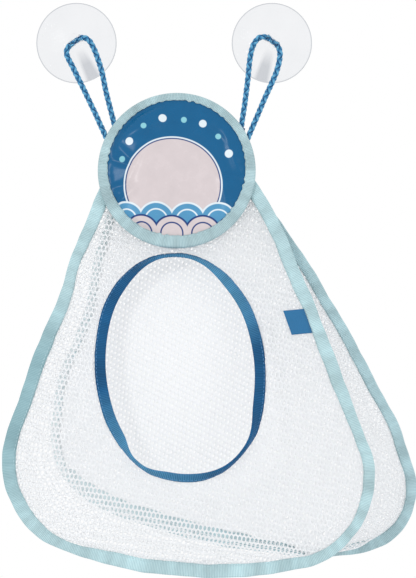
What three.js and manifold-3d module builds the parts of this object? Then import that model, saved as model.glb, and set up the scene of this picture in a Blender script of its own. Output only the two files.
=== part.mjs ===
// Bath toy organizer: a mesh bag that hangs on a wall from two suction cups by two cord loops.
// Millimetres. X is right, Y points into the wall and Z is up.
// The origin is on the wall, midway between the two cups.
import * as THREE from 'three';
import { mergeVertices } from 'three/addons/utils/BufferGeometryUtils.js';
import Module from 'manifold-3d';

const wasm = await Module();
wasm.setup();

// Gap between pieces that touch
const CLEARANCE = 0.3;

// Suction cups, moulded in one piece with their knobs
const CUP_SPACING = 167;
const CUP_RADIUS = 34.3;
const CUP_RIM_WIDTH = 5;
const CUP_RIM_THICKNESS = 1.2;
const CUP_HOLLOW_DEPTH = 4.5;
const CUP_HEIGHT = 9;
const KNOB_RADIUS = 6.4;
const KNOB_LENGTH = 13.5;
const KNOB_ROUNDING = 3;
const KNOB_HOLE_SETBACK = 6;
const KNOB_HOLE_TILT_LEFT = 34;
const KNOB_HOLE_TILT_RIGHT = -37;

// Cord loops
const CORD_DIAMETER = 3.8;
const CORD_PLAY_IN_HOLE = 0.9;
const CORD_TAIL_PAST_TACK = 5;
const TACK_LENGTH = 4;
const TACK_THREAD = 0.7;
const TACK_FOOT = 1.2;

// Round head: two cloth discs bound together
const HEAD_RADIUS = 66.7;
const HEAD_CENTRE_X = 2.5;
const HEAD_DROP = 110;
const HEAD_DEPTH = 25;
const HEAD_CLOTH = 0.8;
const HEAD_TAPE_WIDTH = 8.6;

// Edge tapes, folded over the panels
const TAPE = 0.8;
const TAPE_WIDTH = 10;
const OPENING_TAPE_WIDTH = 8.3;
const NET = 0.8;
const SLOT_OVERRUN = 2;

// Gaps of the net panels, in staggered rows between solid strands
const NET_GAP_PITCH = 25;
const NET_STRAND = 3;
const NET_TOP_HEM = 8;
const NET_GAP_LEAST_SHARE = 0.2;

// How the bag hangs
const FRONT_LEAN = 7.5;
const BAG_SPREAD = 10;
const PANEL_TOP_BELOW_HEAD_CENTRE = 2.3;

// Front panel, measured down from its top edge
const FRONT_TOP_LEFT_X = -58;
const FRONT_TOP_RIGHT_X = 61;
const FRONT_LEFT_CORNER_X = -64.7;
const FRONT_LEFT_CORNER_DROP = 243.5;
const FRONT_LEFT_CORNER_RADIUS = 77.9;
const FRONT_RIGHT_CORNER_X = 89.3;
const FRONT_RIGHT_CORNER_DROP = 255.5;
const FRONT_RIGHT_CORNER_RADIUS = 78.3;
const FRONT_LEFT_SIDE_RADIUS = 3100;
const FRONT_RIGHT_SIDE_RADIUS = 1360;
const FRONT_BOTTOM_RADIUS = 363;

// Hand opening in the front panel, at the fold of its tape
const OPENING_HALF_WIDTH = 62;
const OPENING_HALF_HEIGHT = 87;
const OPENING_X = 5.6;
const OPENING_DROP = 165.4;
const OPENING_TILT = 6;

// Back panel, skewed to the right of the front one
const BACK_TOP_LEFT_X = -48;
const BACK_TOP_RIGHT_X = 61;
const BACK_LEFT_CORNER_X = -39.1;
const BACK_LEFT_CORNER_DROP = 223.7;
const BACK_LEFT_CORNER_RADIUS = 64.9;
const BACK_RIGHT_CORNER_X = 150.2;
const BACK_RIGHT_CORNER_DROP = 267.4;
const BACK_RIGHT_CORNER_RADIUS = 56.6;
const BACK_LEFT_SIDE_RADIUS = 5000;
const BACK_RIGHT_SIDE_RADIUS = 1020;
const BACK_BOTTOM_RADIUS = 470;

// Gusset between the two panels
const GUSSET_SLACK = 0.07;
const GUSSET_START = 16;

// Side label, sewn into the right tape
const LABEL_WIDTH = 17.5;
const LABEL_HEIGHT = 19.5;
const LABEL_THICKNESS = 1;
const LABEL_DROP = 124.5;
const LABEL_TOP_SLOPE = 6;

// Facets
const ROUND_STEPS = 48;
const SIDE_STEPS = 10;
const CORNER_STEPS = 10;
const BOTTOM_STEPS = 8;
const OPENING_STEPS = 56;
const GUSSET_STEPS = 4;
const CUP_CURVE_STEPS = 5;
const CORD_SIDES = 8;
const CORD_STEPS = 34;
const TACK_STEPS = 8;
const MERGE_DISTANCE = 1e-4;

// Sizes that follow from those above
const CORD_RADIUS = CORD_DIAMETER / 2;
const TAPE_INSET = TAPE + CLEARANCE;
const HEAD_HALF_GAP = HEAD_CLOTH + CLEARANCE / 2 + CLEARANCE;
const HEAD_HALF = HEAD_HALF_GAP + TAPE;
const NET_HALF_GAP = NET / 2 + CLEARANCE;
const BINDING_HALF = NET_HALF_GAP + TAPE;
const FRONT_LAYER = HEAD_HALF + CLEARANCE + BINDING_HALF;
const BACK_LAYER = FRONT_LAYER + 2 * BINDING_HALF + CLEARANCE;
const HOLE_RADIUS = CORD_RADIUS + CORD_PLAY_IN_HOLE;
const KNOB_TIP = CUP_HEIGHT + KNOB_LENGTH;

// Routes of the cord loops, from one sewn tail through the knob's hole to the other
const LEFT_CORD_ROUTE = [
  [-54.6, -17.62, -88], [-59.3, -16.3, -77.7], [-67.6, -15.1, -59.5], [-75.8, -15, -42.3],
  [-85.2, -15, -23.2], [-91.2, -15, -9.6], [-88.9, -15, -3.9], [-83.5, -15, 0],
  [-78.2, -15, 3.1], [-73, -15, 1.6], [-69.1, -15, -3.8], [-65.1, -15, -13.4],
  [-61.2, -15, -25.8], [-57.6, -14.9, -43], [-51.6, -14.85, -66.6], [-48.2, -16.72, -81],
];
const RIGHT_CORD_ROUTE = [
  [56.4, -16.35, -78], [57.6, -15.2, -69.3], [60.5, -14.9, -50], [62.7, -15, -32.2],
  [65.2, -15, -10.6], [68.2, -15, -1.6], [72.5, -15, 3.1], [77.8, -15, 3.6],
  [83.5, -15, 0], [88.3, -15, -4.2], [90, -15, -10.6], [87.5, -15, -24.3],
  [77.3, -15, -47.9], [70.9, -15.3, -63], [64.9, -16.2, -77], [59.4, -17.93, -90],
];

const finish = (color, roughness) => new THREE.MeshStandardMaterial({ color, roughness, metalness: 0 });
const CLEAR_PLASTIC = finish(0xe4e8ec, 0.15);
const CORD_BLUE = finish(0x2d73a5, 0.7);
const THREAD_BLUE = finish(0x245f92, 0.8);
const HEAD_BLUE = finish(0x2669a0, 0.45);
const LINING_WHITE = finish(0xe6e8ea, 0.8);
const LIGHT_TAPE = finish(0xa8cdd2, 0.75);
const DARK_TAPE = finish(0x265891, 0.7);
const NET_WHITE = finish(0xf2f2f4, 0.8);
const LABEL_BLUE = finish(0x286eaf, 0.7);

const radians = THREE.MathUtils.degToRad;

// A named mesh of one piece
function piece(name, geometry, material) {
  const mesh = new THREE.Mesh(geometry, material);
  mesh.name = name;
  return mesh;
}

// Closed geometry as a solid for cutting
function toSolid(geometry) {
  const bare = geometry.clone();
  bare.deleteAttribute('normal');
  bare.deleteAttribute('uv');
  const merged = mergeVertices(bare, MERGE_DISTANCE);
  const vertProperties = new Float32Array(merged.attributes.position.array);
  const triVerts = new Uint32Array(merged.index.array);
  return new wasm.Manifold(new wasm.Mesh({ numProp: 3, vertProperties, triVerts }));
}

// Solid as a geometry for a mesh
function toGeometry(solid) {
  const mesh = solid.getMesh();
  const geometry = new THREE.BufferGeometry();
  geometry.setAttribute('position', new THREE.BufferAttribute(new Float32Array(mesh.vertProperties), 3));
  geometry.setIndex(new THREE.BufferAttribute(new Uint32Array(mesh.triVerts), 1));
  geometry.computeVertexNormals();
  return geometry;
}

// What is left of one closed geometry after another is cut from it
function cut(body, tool) {
  return toGeometry(toSolid(body).subtract(toSolid(tool)));
}

// A flat shape drawn in X and Z, given a thickness centred on the plane Y = 0
function slab(shape, thickness) {
  const geometry = new THREE.ExtrudeGeometry(shape, { depth: thickness, bevelEnabled: false });
  geometry.rotateX(Math.PI / 2);
  geometry.translate(0, thickness / 2, 0);
  return geometry;
}

// Where two circles meet, on the left of the line from the first centre to the second, or on its right
function circlesMeet(first, firstRadius, second, secondRadius, left) {
  const between = second.clone().sub(first);
  const distance = between.length();
  const along = (firstRadius ** 2 - secondRadius ** 2 + distance ** 2) / (2 * distance);
  const aside = Math.sqrt(firstRadius ** 2 - along ** 2) * (left ? 1 : -1);
  const unit = between.divideScalar(distance);
  const normal = new THREE.Vector2(-unit.y, unit.x);
  return first.clone().addScaledVector(unit, along).addScaledVector(normal, aside);
}

// Edge of a panel from its top left, round the bottom, to its top right, as five arcs that meet smoothly
class PanelEdge {
  constructor({ topLeft, topRight, left, right, leftRadius, rightRadius, leftSide, rightSide, bottom }) {
    const leftCentre = circlesMeet(topLeft, leftSide, left, leftSide - leftRadius, true);
    const rightCentre = circlesMeet(topRight, rightSide, right, rightSide - rightRadius, false);
    const bottomCentre = circlesMeet(left, bottom - leftRadius, right, bottom - rightRadius, true);
    const toward = (from, to) => Math.atan2(to.y - from.y, to.x - from.x);
    const turns = [
      toward(leftCentre, topLeft),
      toward(leftCentre, left),
      toward(bottomCentre, left),
      toward(bottomCentre, right),
      toward(rightCentre, right),
      toward(rightCentre, topRight),
    ];
    for (let i = 1; i < turns.length; i += 1) {
      while (turns[i] < turns[i - 1]) turns[i] += 2 * Math.PI;
    }
    const centres = [leftCentre, left, bottomCentre, right, rightCentre];
    const radii = [leftSide, leftRadius, bottom, rightRadius, rightSide];
    const steps = [SIDE_STEPS, CORNER_STEPS, BOTTOM_STEPS, CORNER_STEPS, SIDE_STEPS];
    this.arcs = centres.map((centre, i) => ({
      centre, radius: radii[i], start: turns[i], end: turns[i + 1], steps: steps[i],
    }));
  }

  // Points along the edge, moved inwards, with the outward direction at each.
  // The trim is the length left off at the top of each side.
  stations(inset, trim = 0) {
    const found = [];
    this.arcs.forEach(({ centre, radius, start, end, steps }, i) => {
      const first = i === 0 ? start + trim / radius : start;
      const last = i === this.arcs.length - 1 ? end - trim / radius : end;
      for (let k = i === 0 ? 0 : 1; k <= steps; k += 1) {
        const turn = first + ((last - first) * k) / steps;
        const outward = new THREE.Vector2(Math.cos(turn), Math.sin(turn));
        found.push({ point: centre.clone().addScaledVector(outward, radius - inset), outward });
      }
    });
    return found;
  }

  points(inset, trim = 0) {
    return this.stations(inset, trim).map(({ point }) => point);
  }

  // Strip between two insets of the edge
  band(outer, inner, trim = 0) {
    return new THREE.Shape([...this.points(outer, trim), ...this.points(inner, trim).reverse()]);
  }

  // Station on the right side at a given height
  rightStation(inset, height) {
    const { centre, radius } = this.arcs[this.arcs.length - 1];
    const turn = Math.asin((height - centre.y) / (radius - inset));
    const outward = new THREE.Vector2(Math.cos(turn), Math.sin(turn));
    return { point: centre.clone().addScaledVector(outward, radius - inset), outward };
  }
}

const frontEdge = new PanelEdge({
  topLeft: new THREE.Vector2(FRONT_TOP_LEFT_X, 0),
  topRight: new THREE.Vector2(FRONT_TOP_RIGHT_X, 0),
  left: new THREE.Vector2(FRONT_LEFT_CORNER_X, -FRONT_LEFT_CORNER_DROP),
  right: new THREE.Vector2(FRONT_RIGHT_CORNER_X, -FRONT_RIGHT_CORNER_DROP),
  leftRadius: FRONT_LEFT_CORNER_RADIUS,
  rightRadius: FRONT_RIGHT_CORNER_RADIUS,
  leftSide: FRONT_LEFT_SIDE_RADIUS,
  rightSide: FRONT_RIGHT_SIDE_RADIUS,
  bottom: FRONT_BOTTOM_RADIUS,
});
const backEdge = new PanelEdge({
  topLeft: new THREE.Vector2(BACK_TOP_LEFT_X, 0),
  topRight: new THREE.Vector2(BACK_TOP_RIGHT_X, 0),
  left: new THREE.Vector2(BACK_LEFT_CORNER_X, -BACK_LEFT_CORNER_DROP),
  right: new THREE.Vector2(BACK_RIGHT_CORNER_X, -BACK_RIGHT_CORNER_DROP),
  leftRadius: BACK_LEFT_CORNER_RADIUS,
  rightRadius: BACK_RIGHT_CORNER_RADIUS,
  leftSide: BACK_LEFT_SIDE_RADIUS,
  rightSide: BACK_RIGHT_SIDE_RADIUS,
  bottom: BACK_BOTTOM_RADIUS,
});

// Tape folded over a panel's edge: a strip with a slot for the net
function edgeTape(edge) {
  const strip = slab(edge.band(0, TAPE_WIDTH), 2 * BINDING_HALF);
  const slot = slab(edge.band(TAPE, TAPE_WIDTH + TAPE, -SLOT_OVERRUN), 2 * NET_HALF_GAP);
  return cut(strip, slot);
}

// Oval of the hand opening, grown outwards from the fold of its tape
function openingOval(growth) {
  const oval = new THREE.EllipseCurve(
    OPENING_X, -OPENING_DROP, OPENING_HALF_WIDTH + growth, OPENING_HALF_HEIGHT + growth,
    0, 2 * Math.PI, false, radians(OPENING_TILT),
  );
  return oval.getPoints(OPENING_STEPS).slice(0, -1);
}

// Strip between two growths of the oval
function openingBand(inner, outer) {
  const shape = new THREE.Shape(openingOval(outer));
  shape.holes.push(new THREE.Path(openingOval(inner)));
  return shape;
}

// Net sheet with a grid of six-sided gaps, cut off at the edge of a field.
// A gap of which too little lies in the field is left out.
function netPanel(outline, field) {
  const sides = 6;
  const slant = Math.cos(Math.PI / sides);
  const radius = (NET_GAP_PITCH - NET_STRAND) / 2 / slant;
  const rowPitch = NET_GAP_PITCH * slant;
  const throughNet = 2 * NET;
  const whole = toSolid(new THREE.CylinderGeometry(radius, radius, throughNet, sides));
  const limit = toSolid(slab(field, throughNet));
  const { min, max } = new THREE.Box2().setFromPoints(field.getPoints());
  const gaps = [];
  for (let row = 0; max.y - row * rowPitch > min.y; row += 1) {
    const stagger = row % 2 === 0 ? 0 : NET_GAP_PITCH / 2;
    for (let x = min.x + stagger; x < max.x + NET_GAP_PITCH; x += NET_GAP_PITCH) {
      const gap = whole.translate([x, 0, max.y - row * rowPitch]).intersect(limit);
      if (gap.volume() > NET_GAP_LEAST_SHARE * whole.volume()) gaps.push(gap);
    }
  }
  return toGeometry(toSolid(slab(outline, NET)).subtract(wasm.Manifold.union(gaps)));
}

// Suction cup with its rim on the wall plane and its knob pointing away from it
function cupGeometry(holeTilt) {
  const hollow = new THREE.QuadraticBezierCurve(
    new THREE.Vector2(0, -CUP_HOLLOW_DEPTH),
    new THREE.Vector2((CUP_RADIUS - CUP_RIM_WIDTH) / 2, -CUP_HOLLOW_DEPTH),
    new THREE.Vector2(CUP_RADIUS - CUP_RIM_WIDTH, 0),
  );
  const dome = new THREE.QuadraticBezierCurve(
    new THREE.Vector2(CUP_RADIUS, -CUP_RIM_THICKNESS),
    new THREE.Vector2((CUP_RADIUS + KNOB_RADIUS) / 2, -CUP_HEIGHT + CUP_RIM_THICKNESS),
    new THREE.Vector2(KNOB_RADIUS, -CUP_HEIGHT),
  );
  const tip = new THREE.EllipseCurve(
    KNOB_RADIUS - KNOB_ROUNDING, -KNOB_TIP + KNOB_ROUNDING, KNOB_ROUNDING, KNOB_ROUNDING,
    0, -Math.PI / 2, true,
  );
  const profile = [
    ...hollow.getPoints(CUP_CURVE_STEPS),
    new THREE.Vector2(CUP_RADIUS, 0),
    ...dome.getPoints(CUP_CURVE_STEPS),
    ...tip.getPoints(CUP_CURVE_STEPS),
    new THREE.Vector2(0, -KNOB_TIP),
  ];
  const cup = new THREE.LatheGeometry(profile.reverse(), ROUND_STEPS);
  const throughKnob = 4 * KNOB_RADIUS;
  const hole = new THREE.CylinderGeometry(HOLE_RADIUS, HOLE_RADIUS, throughKnob, ROUND_STEPS / 2);
  hole.rotateZ(Math.PI / 2);
  hole.rotateY(-radians(holeTilt));
  hole.translate(0, -CUP_HEIGHT - KNOB_HOLE_SETBACK, 0);
  return cut(cup, hole);
}

const routeCurve = (route) => new THREE.CatmullRomCurve3(route.map((point) => new THREE.Vector3(...point)));

// Round cord swept along its route
function cordGeometry(route) {
  const ring = Array.from({ length: CORD_SIDES }, (_, i) => {
    const turn = (2 * Math.PI * i) / CORD_SIDES;
    return new THREE.Vector2(CORD_RADIUS * Math.cos(turn), CORD_RADIUS * Math.sin(turn));
  });
  const sweep = { steps: CORD_STEPS, extrudePath: routeCurve(route) };
  return new THREE.ExtrudeGeometry(new THREE.Shape(ring), sweep);
}

// Saddle of thread over a cord's tail: an arch with two feet, centred on the cord
function tackGeometry() {
  const inner = CORD_RADIUS + CLEARANCE;
  const outer = inner + TACK_THREAD;
  const floor = -CORD_RADIUS;
  const shape = new THREE.Shape();
  shape.moveTo(-outer - TACK_FOOT, floor);
  shape.lineTo(-inner, floor);
  shape.lineTo(-inner, 0);
  shape.absarc(0, 0, inner, Math.PI, 0, true);
  shape.lineTo(inner, floor);
  shape.lineTo(outer + TACK_FOOT, floor);
  shape.lineTo(outer + TACK_FOOT, floor + TACK_THREAD);
  shape.lineTo(outer, floor + TACK_THREAD);
  shape.lineTo(outer, 0);
  shape.absarc(0, 0, outer, 0, Math.PI, false);
  shape.lineTo(-outer, floor + TACK_THREAD);
  shape.lineTo(-outer - TACK_FOOT, floor + TACK_THREAD);
  shape.closePath();
  const geometry = new THREE.ExtrudeGeometry(shape, {
    depth: TACK_LENGTH, bevelEnabled: false, curveSegments: TACK_STEPS,
  });
  geometry.translate(0, 0, -TACK_LENGTH / 2);
  return geometry;
}

// Tape folded over the head's edge, turned about the head's axis
function headBindingGeometry() {
  const inside = HEAD_RADIUS - HEAD_TAPE_WIDTH;
  const fold = HEAD_RADIUS - TAPE;
  const profile = [
    [inside, -HEAD_HALF], [fold, -HEAD_HALF], [HEAD_RADIUS, -HEAD_HALF_GAP], [HEAD_RADIUS, HEAD_HALF_GAP],
    [fold, HEAD_HALF], [inside, HEAD_HALF], [inside, HEAD_HALF_GAP], [fold, HEAD_HALF_GAP],
    [fold, -HEAD_HALF_GAP], [inside, -HEAD_HALF_GAP], [inside, -HEAD_HALF],
  ];
  return new THREE.LatheGeometry(profile.map(([r, y]) => new THREE.Vector2(r, y)), ROUND_STEPS);
}

// Disc of head cloth, lying across the head's axis
function headDisc(side) {
  const geometry = new THREE.CylinderGeometry(
    HEAD_RADIUS - TAPE_INSET, HEAD_RADIUS - TAPE_INSET, HEAD_CLOTH, ROUND_STEPS,
  );
  geometry.translate(0, (side * (HEAD_CLOTH + CLEARANCE)) / 2, 0);
  return geometry;
}

// Label drawn on the front panel, with its right edge along the tape's inner edge
function labelGeometry() {
  const { point, outward } = frontEdge.rightStation(TAPE_WIDTH + CLEARANCE, -LABEL_DROP);
  const down = new THREE.Vector2(outward.y, -outward.x);
  const inward = new THREE.Vector2(-Math.cos(radians(LABEL_TOP_SLOPE)), -Math.sin(radians(LABEL_TOP_SLOPE)));
  const topRight = point.clone().addScaledVector(down, -LABEL_HEIGHT / 2);
  const bottomRight = point.clone().addScaledVector(down, LABEL_HEIGHT / 2);
  const shape = new THREE.Shape([
    topRight,
    topRight.clone().addScaledVector(inward, LABEL_WIDTH),
    bottomRight.clone().addScaledVector(inward, LABEL_WIDTH),
    bottomRight,
  ]);
  const geometry = slab(shape, LABEL_THICKNESS);
  geometry.translate(0, -NET_HALF_GAP - LABEL_THICKNESS / 2, 0);
  return geometry;
}

// Closed strip through sections that hold the same number of points
function loft(sections) {
  const count = sections[0].length;
  const positions = sections.flat().flatMap((point) => point.toArray());
  const index = [];
  for (let i = 0; i + 1 < sections.length; i += 1) {
    for (let k = 0; k < count; k += 1) {
      const next = (k + 1) % count;
      const here = i * count;
      const there = here + count;
      index.push(here + k, here + next, there + k, here + next, there + next, there + k);
    }
  }
  const half = count / 2;
  const last = (sections.length - 1) * count;
  for (let k = 0; k + 1 < half; k += 1) {
    const [a, b, c, d] = [k, k + 1, count - 2 - k, count - 1 - k];
    index.push(a, d, b, b, d, c);
    index.push(last + a, last + b, last + d, last + b, last + c, last + d);
  }
  const geometry = new THREE.BufferGeometry();
  geometry.setAttribute('position', new THREE.Float32BufferAttribute(positions, 3));
  geometry.setIndex(index);
  geometry.computeVertexNormals();
  return geometry;
}

// Net strip from the back of the front tape to the front of the back tape, swelling a little between them
function gussetGeometry(frontGroup, backGroup) {
  const inset = TAPE_WIDTH / 2;
  const seat = BINDING_HALF + CLEARANCE;
  const place = (group, { point, outward }, depth) => ({
    point: group.localToWorld(new THREE.Vector3(point.x, depth, point.y)),
    outward: new THREE.Vector3(outward.x, 0, outward.y).transformDirection(group.matrixWorld),
  });
  const backStations = backEdge.stations(inset, GUSSET_START);
  const sections = frontEdge.stations(inset, GUSSET_START).map((station, i) => {
    const front = place(frontGroup, station, seat);
    const back = place(backGroup, backStations[i], -seat);
    const swell = GUSSET_SLACK * front.point.distanceTo(back.point);
    const outside = [];
    const inside = [];
    for (let k = 0; k <= GUSSET_STEPS; k += 1) {
      const share = k / GUSSET_STEPS;
      const outward = front.outward.clone().lerp(back.outward, share).normalize();
      const middle = front.point.clone().lerp(back.point, share);
      middle.addScaledVector(outward, swell * Math.sin(Math.PI * share));
      outside.push(middle.clone().addScaledVector(outward, NET / 2));
      inside.push(middle.clone().addScaledVector(outward, -NET / 2));
    }
    return [...outside, ...inside.reverse()];
  });
  return loft(sections);
}

const organizer = new THREE.Group();

// Cups on the wall
for (const [side, name, tilt] of [[-1, 'left', KNOB_HOLE_TILT_LEFT], [1, 'right', KNOB_HOLE_TILT_RIGHT]]) {
  const cup = piece(`suction_cup_${name}`, cupGeometry(tilt), CLEAR_PLASTIC);
  cup.position.x = (side * CUP_SPACING) / 2;
  organizer.add(cup);
}

// Everything sewn together at the head leans out from the wall
const hanging = new THREE.Group();
hanging.position.set(0, -HEAD_DEPTH, -HEAD_DROP);
hanging.rotation.x = -radians(FRONT_LEAN);
organizer.add(hanging);

const head = new THREE.Group();
head.position.x = HEAD_CENTRE_X;
head.add(piece('head_front', headDisc(-1), HEAD_BLUE));
head.add(piece('head_back', headDisc(1), LINING_WHITE));
head.add(piece('head_binding', headBindingGeometry(), LIGHT_TAPE));
hanging.add(head);

const front = new THREE.Group();
front.position.set(0, FRONT_LAYER, -PANEL_TOP_BELOW_HEAD_CENTRE);
const frontShape = new THREE.Shape(frontEdge.points(TAPE_INSET));
frontShape.holes.push(new THREE.Path(openingOval(TAPE_INSET)));
const frontField = new THREE.Shape(frontEdge.points(TAPE_WIDTH + NET_STRAND, NET_TOP_HEM));
frontField.holes.push(new THREE.Path(openingOval(OPENING_TAPE_WIDTH + NET_STRAND)));
front.add(piece('front_panel', netPanel(frontShape, frontField), NET_WHITE));
front.add(piece('front_binding', edgeTape(frontEdge), LIGHT_TAPE));
const openingStrip = slab(openingBand(0, OPENING_TAPE_WIDTH), 2 * BINDING_HALF);
const openingSlot = slab(openingBand(TAPE, OPENING_TAPE_WIDTH + TAPE), 2 * NET_HALF_GAP);
front.add(piece('opening_binding', cut(openingStrip, openingSlot), DARK_TAPE));
front.add(piece('side_label', labelGeometry(), LABEL_BLUE));
hanging.add(front);

const back = new THREE.Group();
back.position.set(0, BACK_LAYER, -PANEL_TOP_BELOW_HEAD_CENTRE);
back.rotation.x = radians(BAG_SPREAD);
const backShape = new THREE.Shape(backEdge.points(TAPE_INSET));
const backField = new THREE.Shape(backEdge.points(TAPE_WIDTH + NET_STRAND, NET_TOP_HEM));
back.add(piece('back_panel', netPanel(backShape, backField), NET_WHITE));
back.add(piece('back_binding', edgeTape(backEdge), LIGHT_TAPE));
hanging.add(back);

organizer.updateMatrixWorld(true);
organizer.add(piece('gusset', gussetGeometry(front, back), NET_WHITE));

// Cord loops, and a thread tack over each of their tails behind the head
const headBackward = new THREE.Vector3(0, 1, 0).transformDirection(hanging.matrixWorld);
for (const [name, route] of [['left', LEFT_CORD_ROUTE], ['right', RIGHT_CORD_ROUTE]]) {
  organizer.add(piece(`cord_loop_${name}`, cordGeometry(route), CORD_BLUE));
  const curve = routeCurve(route);
  const setback = CORD_TAIL_PAST_TACK / curve.getLength();
  for (const [end, share] of [['a', setback], ['b', 1 - setback]]) {
    const along = curve.getTangentAt(share);
    const across = new THREE.Vector3().crossVectors(headBackward, along).normalize();
    const outward = new THREE.Vector3().crossVectors(along, across);
    const tack = piece(`cord_tack_${name}_${end}`, tackGeometry(), THREAD_BLUE);
    tack.setRotationFromMatrix(new THREE.Matrix4().makeBasis(across, outward, along));
    tack.position.copy(curve.getPointAt(share));
    organizer.add(tack);
  }
}

export default organizer;
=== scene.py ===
"""Bath toy organizer: a net bag under a round cloth head, hung by cord loops from two clear suction cups.

Lengths are in millimetres, as in the part's source, and become metres where a mesh is made. A flat place
on a panel is (x, rise), with rise measured up from the panel's top edge, and forward is towards the room.
"""

import logging
import math
from collections.abc import Callable, Sequence
from dataclasses import dataclass
from enum import Enum
from functools import cache

import bmesh
import bpy
import numpy as np
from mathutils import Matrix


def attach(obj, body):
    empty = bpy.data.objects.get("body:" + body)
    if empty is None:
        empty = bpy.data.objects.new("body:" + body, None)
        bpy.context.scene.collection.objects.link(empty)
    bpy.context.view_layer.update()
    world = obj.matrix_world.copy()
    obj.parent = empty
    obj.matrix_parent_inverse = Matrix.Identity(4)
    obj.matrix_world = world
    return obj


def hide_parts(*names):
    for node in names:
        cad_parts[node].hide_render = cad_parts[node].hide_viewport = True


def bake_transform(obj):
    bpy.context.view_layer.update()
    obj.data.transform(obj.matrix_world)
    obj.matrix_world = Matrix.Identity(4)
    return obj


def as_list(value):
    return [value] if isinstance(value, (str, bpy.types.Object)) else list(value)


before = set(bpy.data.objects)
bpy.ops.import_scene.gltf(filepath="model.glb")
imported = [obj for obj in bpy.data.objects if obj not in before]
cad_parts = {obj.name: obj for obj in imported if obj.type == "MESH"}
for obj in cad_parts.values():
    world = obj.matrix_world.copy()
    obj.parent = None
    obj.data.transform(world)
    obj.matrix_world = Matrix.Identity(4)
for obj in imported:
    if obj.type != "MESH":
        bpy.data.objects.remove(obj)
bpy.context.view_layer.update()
LOG = logging.getLogger("organizer")

MM = 0.001
FULL_TURN = 2 * math.pi
Array = np.ndarray
Socket = bpy.types.NodeSocket
Object = bpy.types.Object
Tree = bpy.types.NodeTree
Pair = tuple[float, float]
Triple = tuple[float, float, float]
Colour = tuple[float, float, float, float]
Inputs = dict[str | int, float | Colour | Socket]
Carry = Callable[[Array, Array, Array], Array]


class Side(Enum):
    """Which of the two hanging points a piece belongs to."""

    LEFT = "left"
    RIGHT = "right"

    @property
    def sign(self) -> float:
        """Minus one on the left and one on the right."""
        return -1.0 if self is Side.LEFT else 1.0


class Body(Enum):
    """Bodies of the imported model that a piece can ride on."""

    CUPS = "wall_cups"
    FRONT = "bag_front"
    BACK = "bag_back"
    LABEL = "label"


def srgb(red: int, green: int, blue: int) -> Colour:
    """Linear colour of a screen colour given from 0 to 255."""
    tones = [tone / 255 for tone in (red, green, blue)]
    return (*[t / 12.92 if t <= 0.04045 else ((t + 0.055) / 1.055) ** 2.4 for t in tones], 1.0)


def smooth(share: Array) -> Array:
    """Eased step from 0 to 1."""
    t = np.clip(share, 0.0, 1.0)
    return t * t * (3 - 2 * t)


def bell(value: Array, middle: float, reach: float, power: float = 2.0) -> Array:
    """One at the middle, and falling away to nought past the reach on both sides."""
    return np.exp(-np.abs((value - middle) / reach) ** power)


def held_over(value: Array, least: float, soft: float = 0.4) -> Array:
    """The value where it is well over the least, and softly held over it elsewhere."""
    return least + soft * np.logaddexp(0.0, (value - least) / soft)


def unit(vectors: Array) -> Array:
    """Vectors of length one."""
    return vectors / np.linalg.norm(vectors, axis=-1, keepdims=True)


def closed(line: Array) -> Array:
    """Line that comes back to its start."""
    return np.vstack([line, line[:1]])


def run_along(line: Array) -> Array:
    """Length from the start of a line to each of its points."""
    return np.concatenate([[0.0], np.cumsum(np.linalg.norm(np.diff(line, axis=0), axis=1))])


def along_line(at: Array, run: Array, rows: Array) -> Array:
    """Rows of values between stations, at lengths along a run."""
    return np.stack([np.interp(at, run, column) for column in rows.T], -1)


def circle(count: int) -> Array:
    """Even angles round a circle, in radians."""
    return np.linspace(0, FULL_TURN, count, endpoint=False)


def heading(turn: Array) -> Array:
    """Flat directions of length one at angles in radians."""
    return np.stack([np.cos(turn), np.sin(turn)], -1)


def spin(degrees: float) -> Array:
    """Matrix that turns rows of flat places, clockwise where the angle is positive."""
    c, s = math.cos(math.radians(degrees)), math.sin(math.radians(degrees))
    return np.array([[c, -s], [s, c]])


def drift(run: Array, seed: int, reach: float = 1.0) -> Array:
    """Slow unevenness along a run, between about minus and plus one.

    Args:
        run: Lengths along the run.
        seed: Picks one course of unevenness.
        reach: Stretches the waves.

    Returns:
        The unevenness at each length.
    """
    waves = np.array([141.0, 83.0, 47.0, 29.0]) * reach
    sizes = np.array([0.5, 0.4, 0.25, 0.15])
    turns = np.random.default_rng(seed).uniform(0, FULL_TURN, 4)
    return (sizes * np.sin(FULL_TURN * np.asarray(run)[..., None] / waves + turns)).sum(-1)


def inside(points: Array, polygon: Array) -> Array:
    """Tells which flat points lie in a polygon given by its corners.

    Args:
        points: Flat points.
        polygon: Its corners in order.

    Returns:
        True for each point inside.
    """
    x, y = points[:, :1], points[:, 1:]
    a, b = polygon, np.roll(polygon, -1, axis=0)
    crossed = (a[:, 1] > y) != (b[:, 1] > y)
    at = (b[:, 0] - a[:, 0]) * (y - a[:, 1]) / (b[:, 1] - a[:, 1] + 1e-12) + a[:, 0]
    return (crossed & (x < at)).sum(axis=1) % 2 == 1


def polygon_area(polygon: Array) -> float:
    """Area of a polygon given by its corners."""
    x, y = polygon.T
    return 0.5 * abs(float(np.dot(x, np.roll(y, -1)) - np.dot(y, np.roll(x, -1))))


# Nodes


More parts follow.
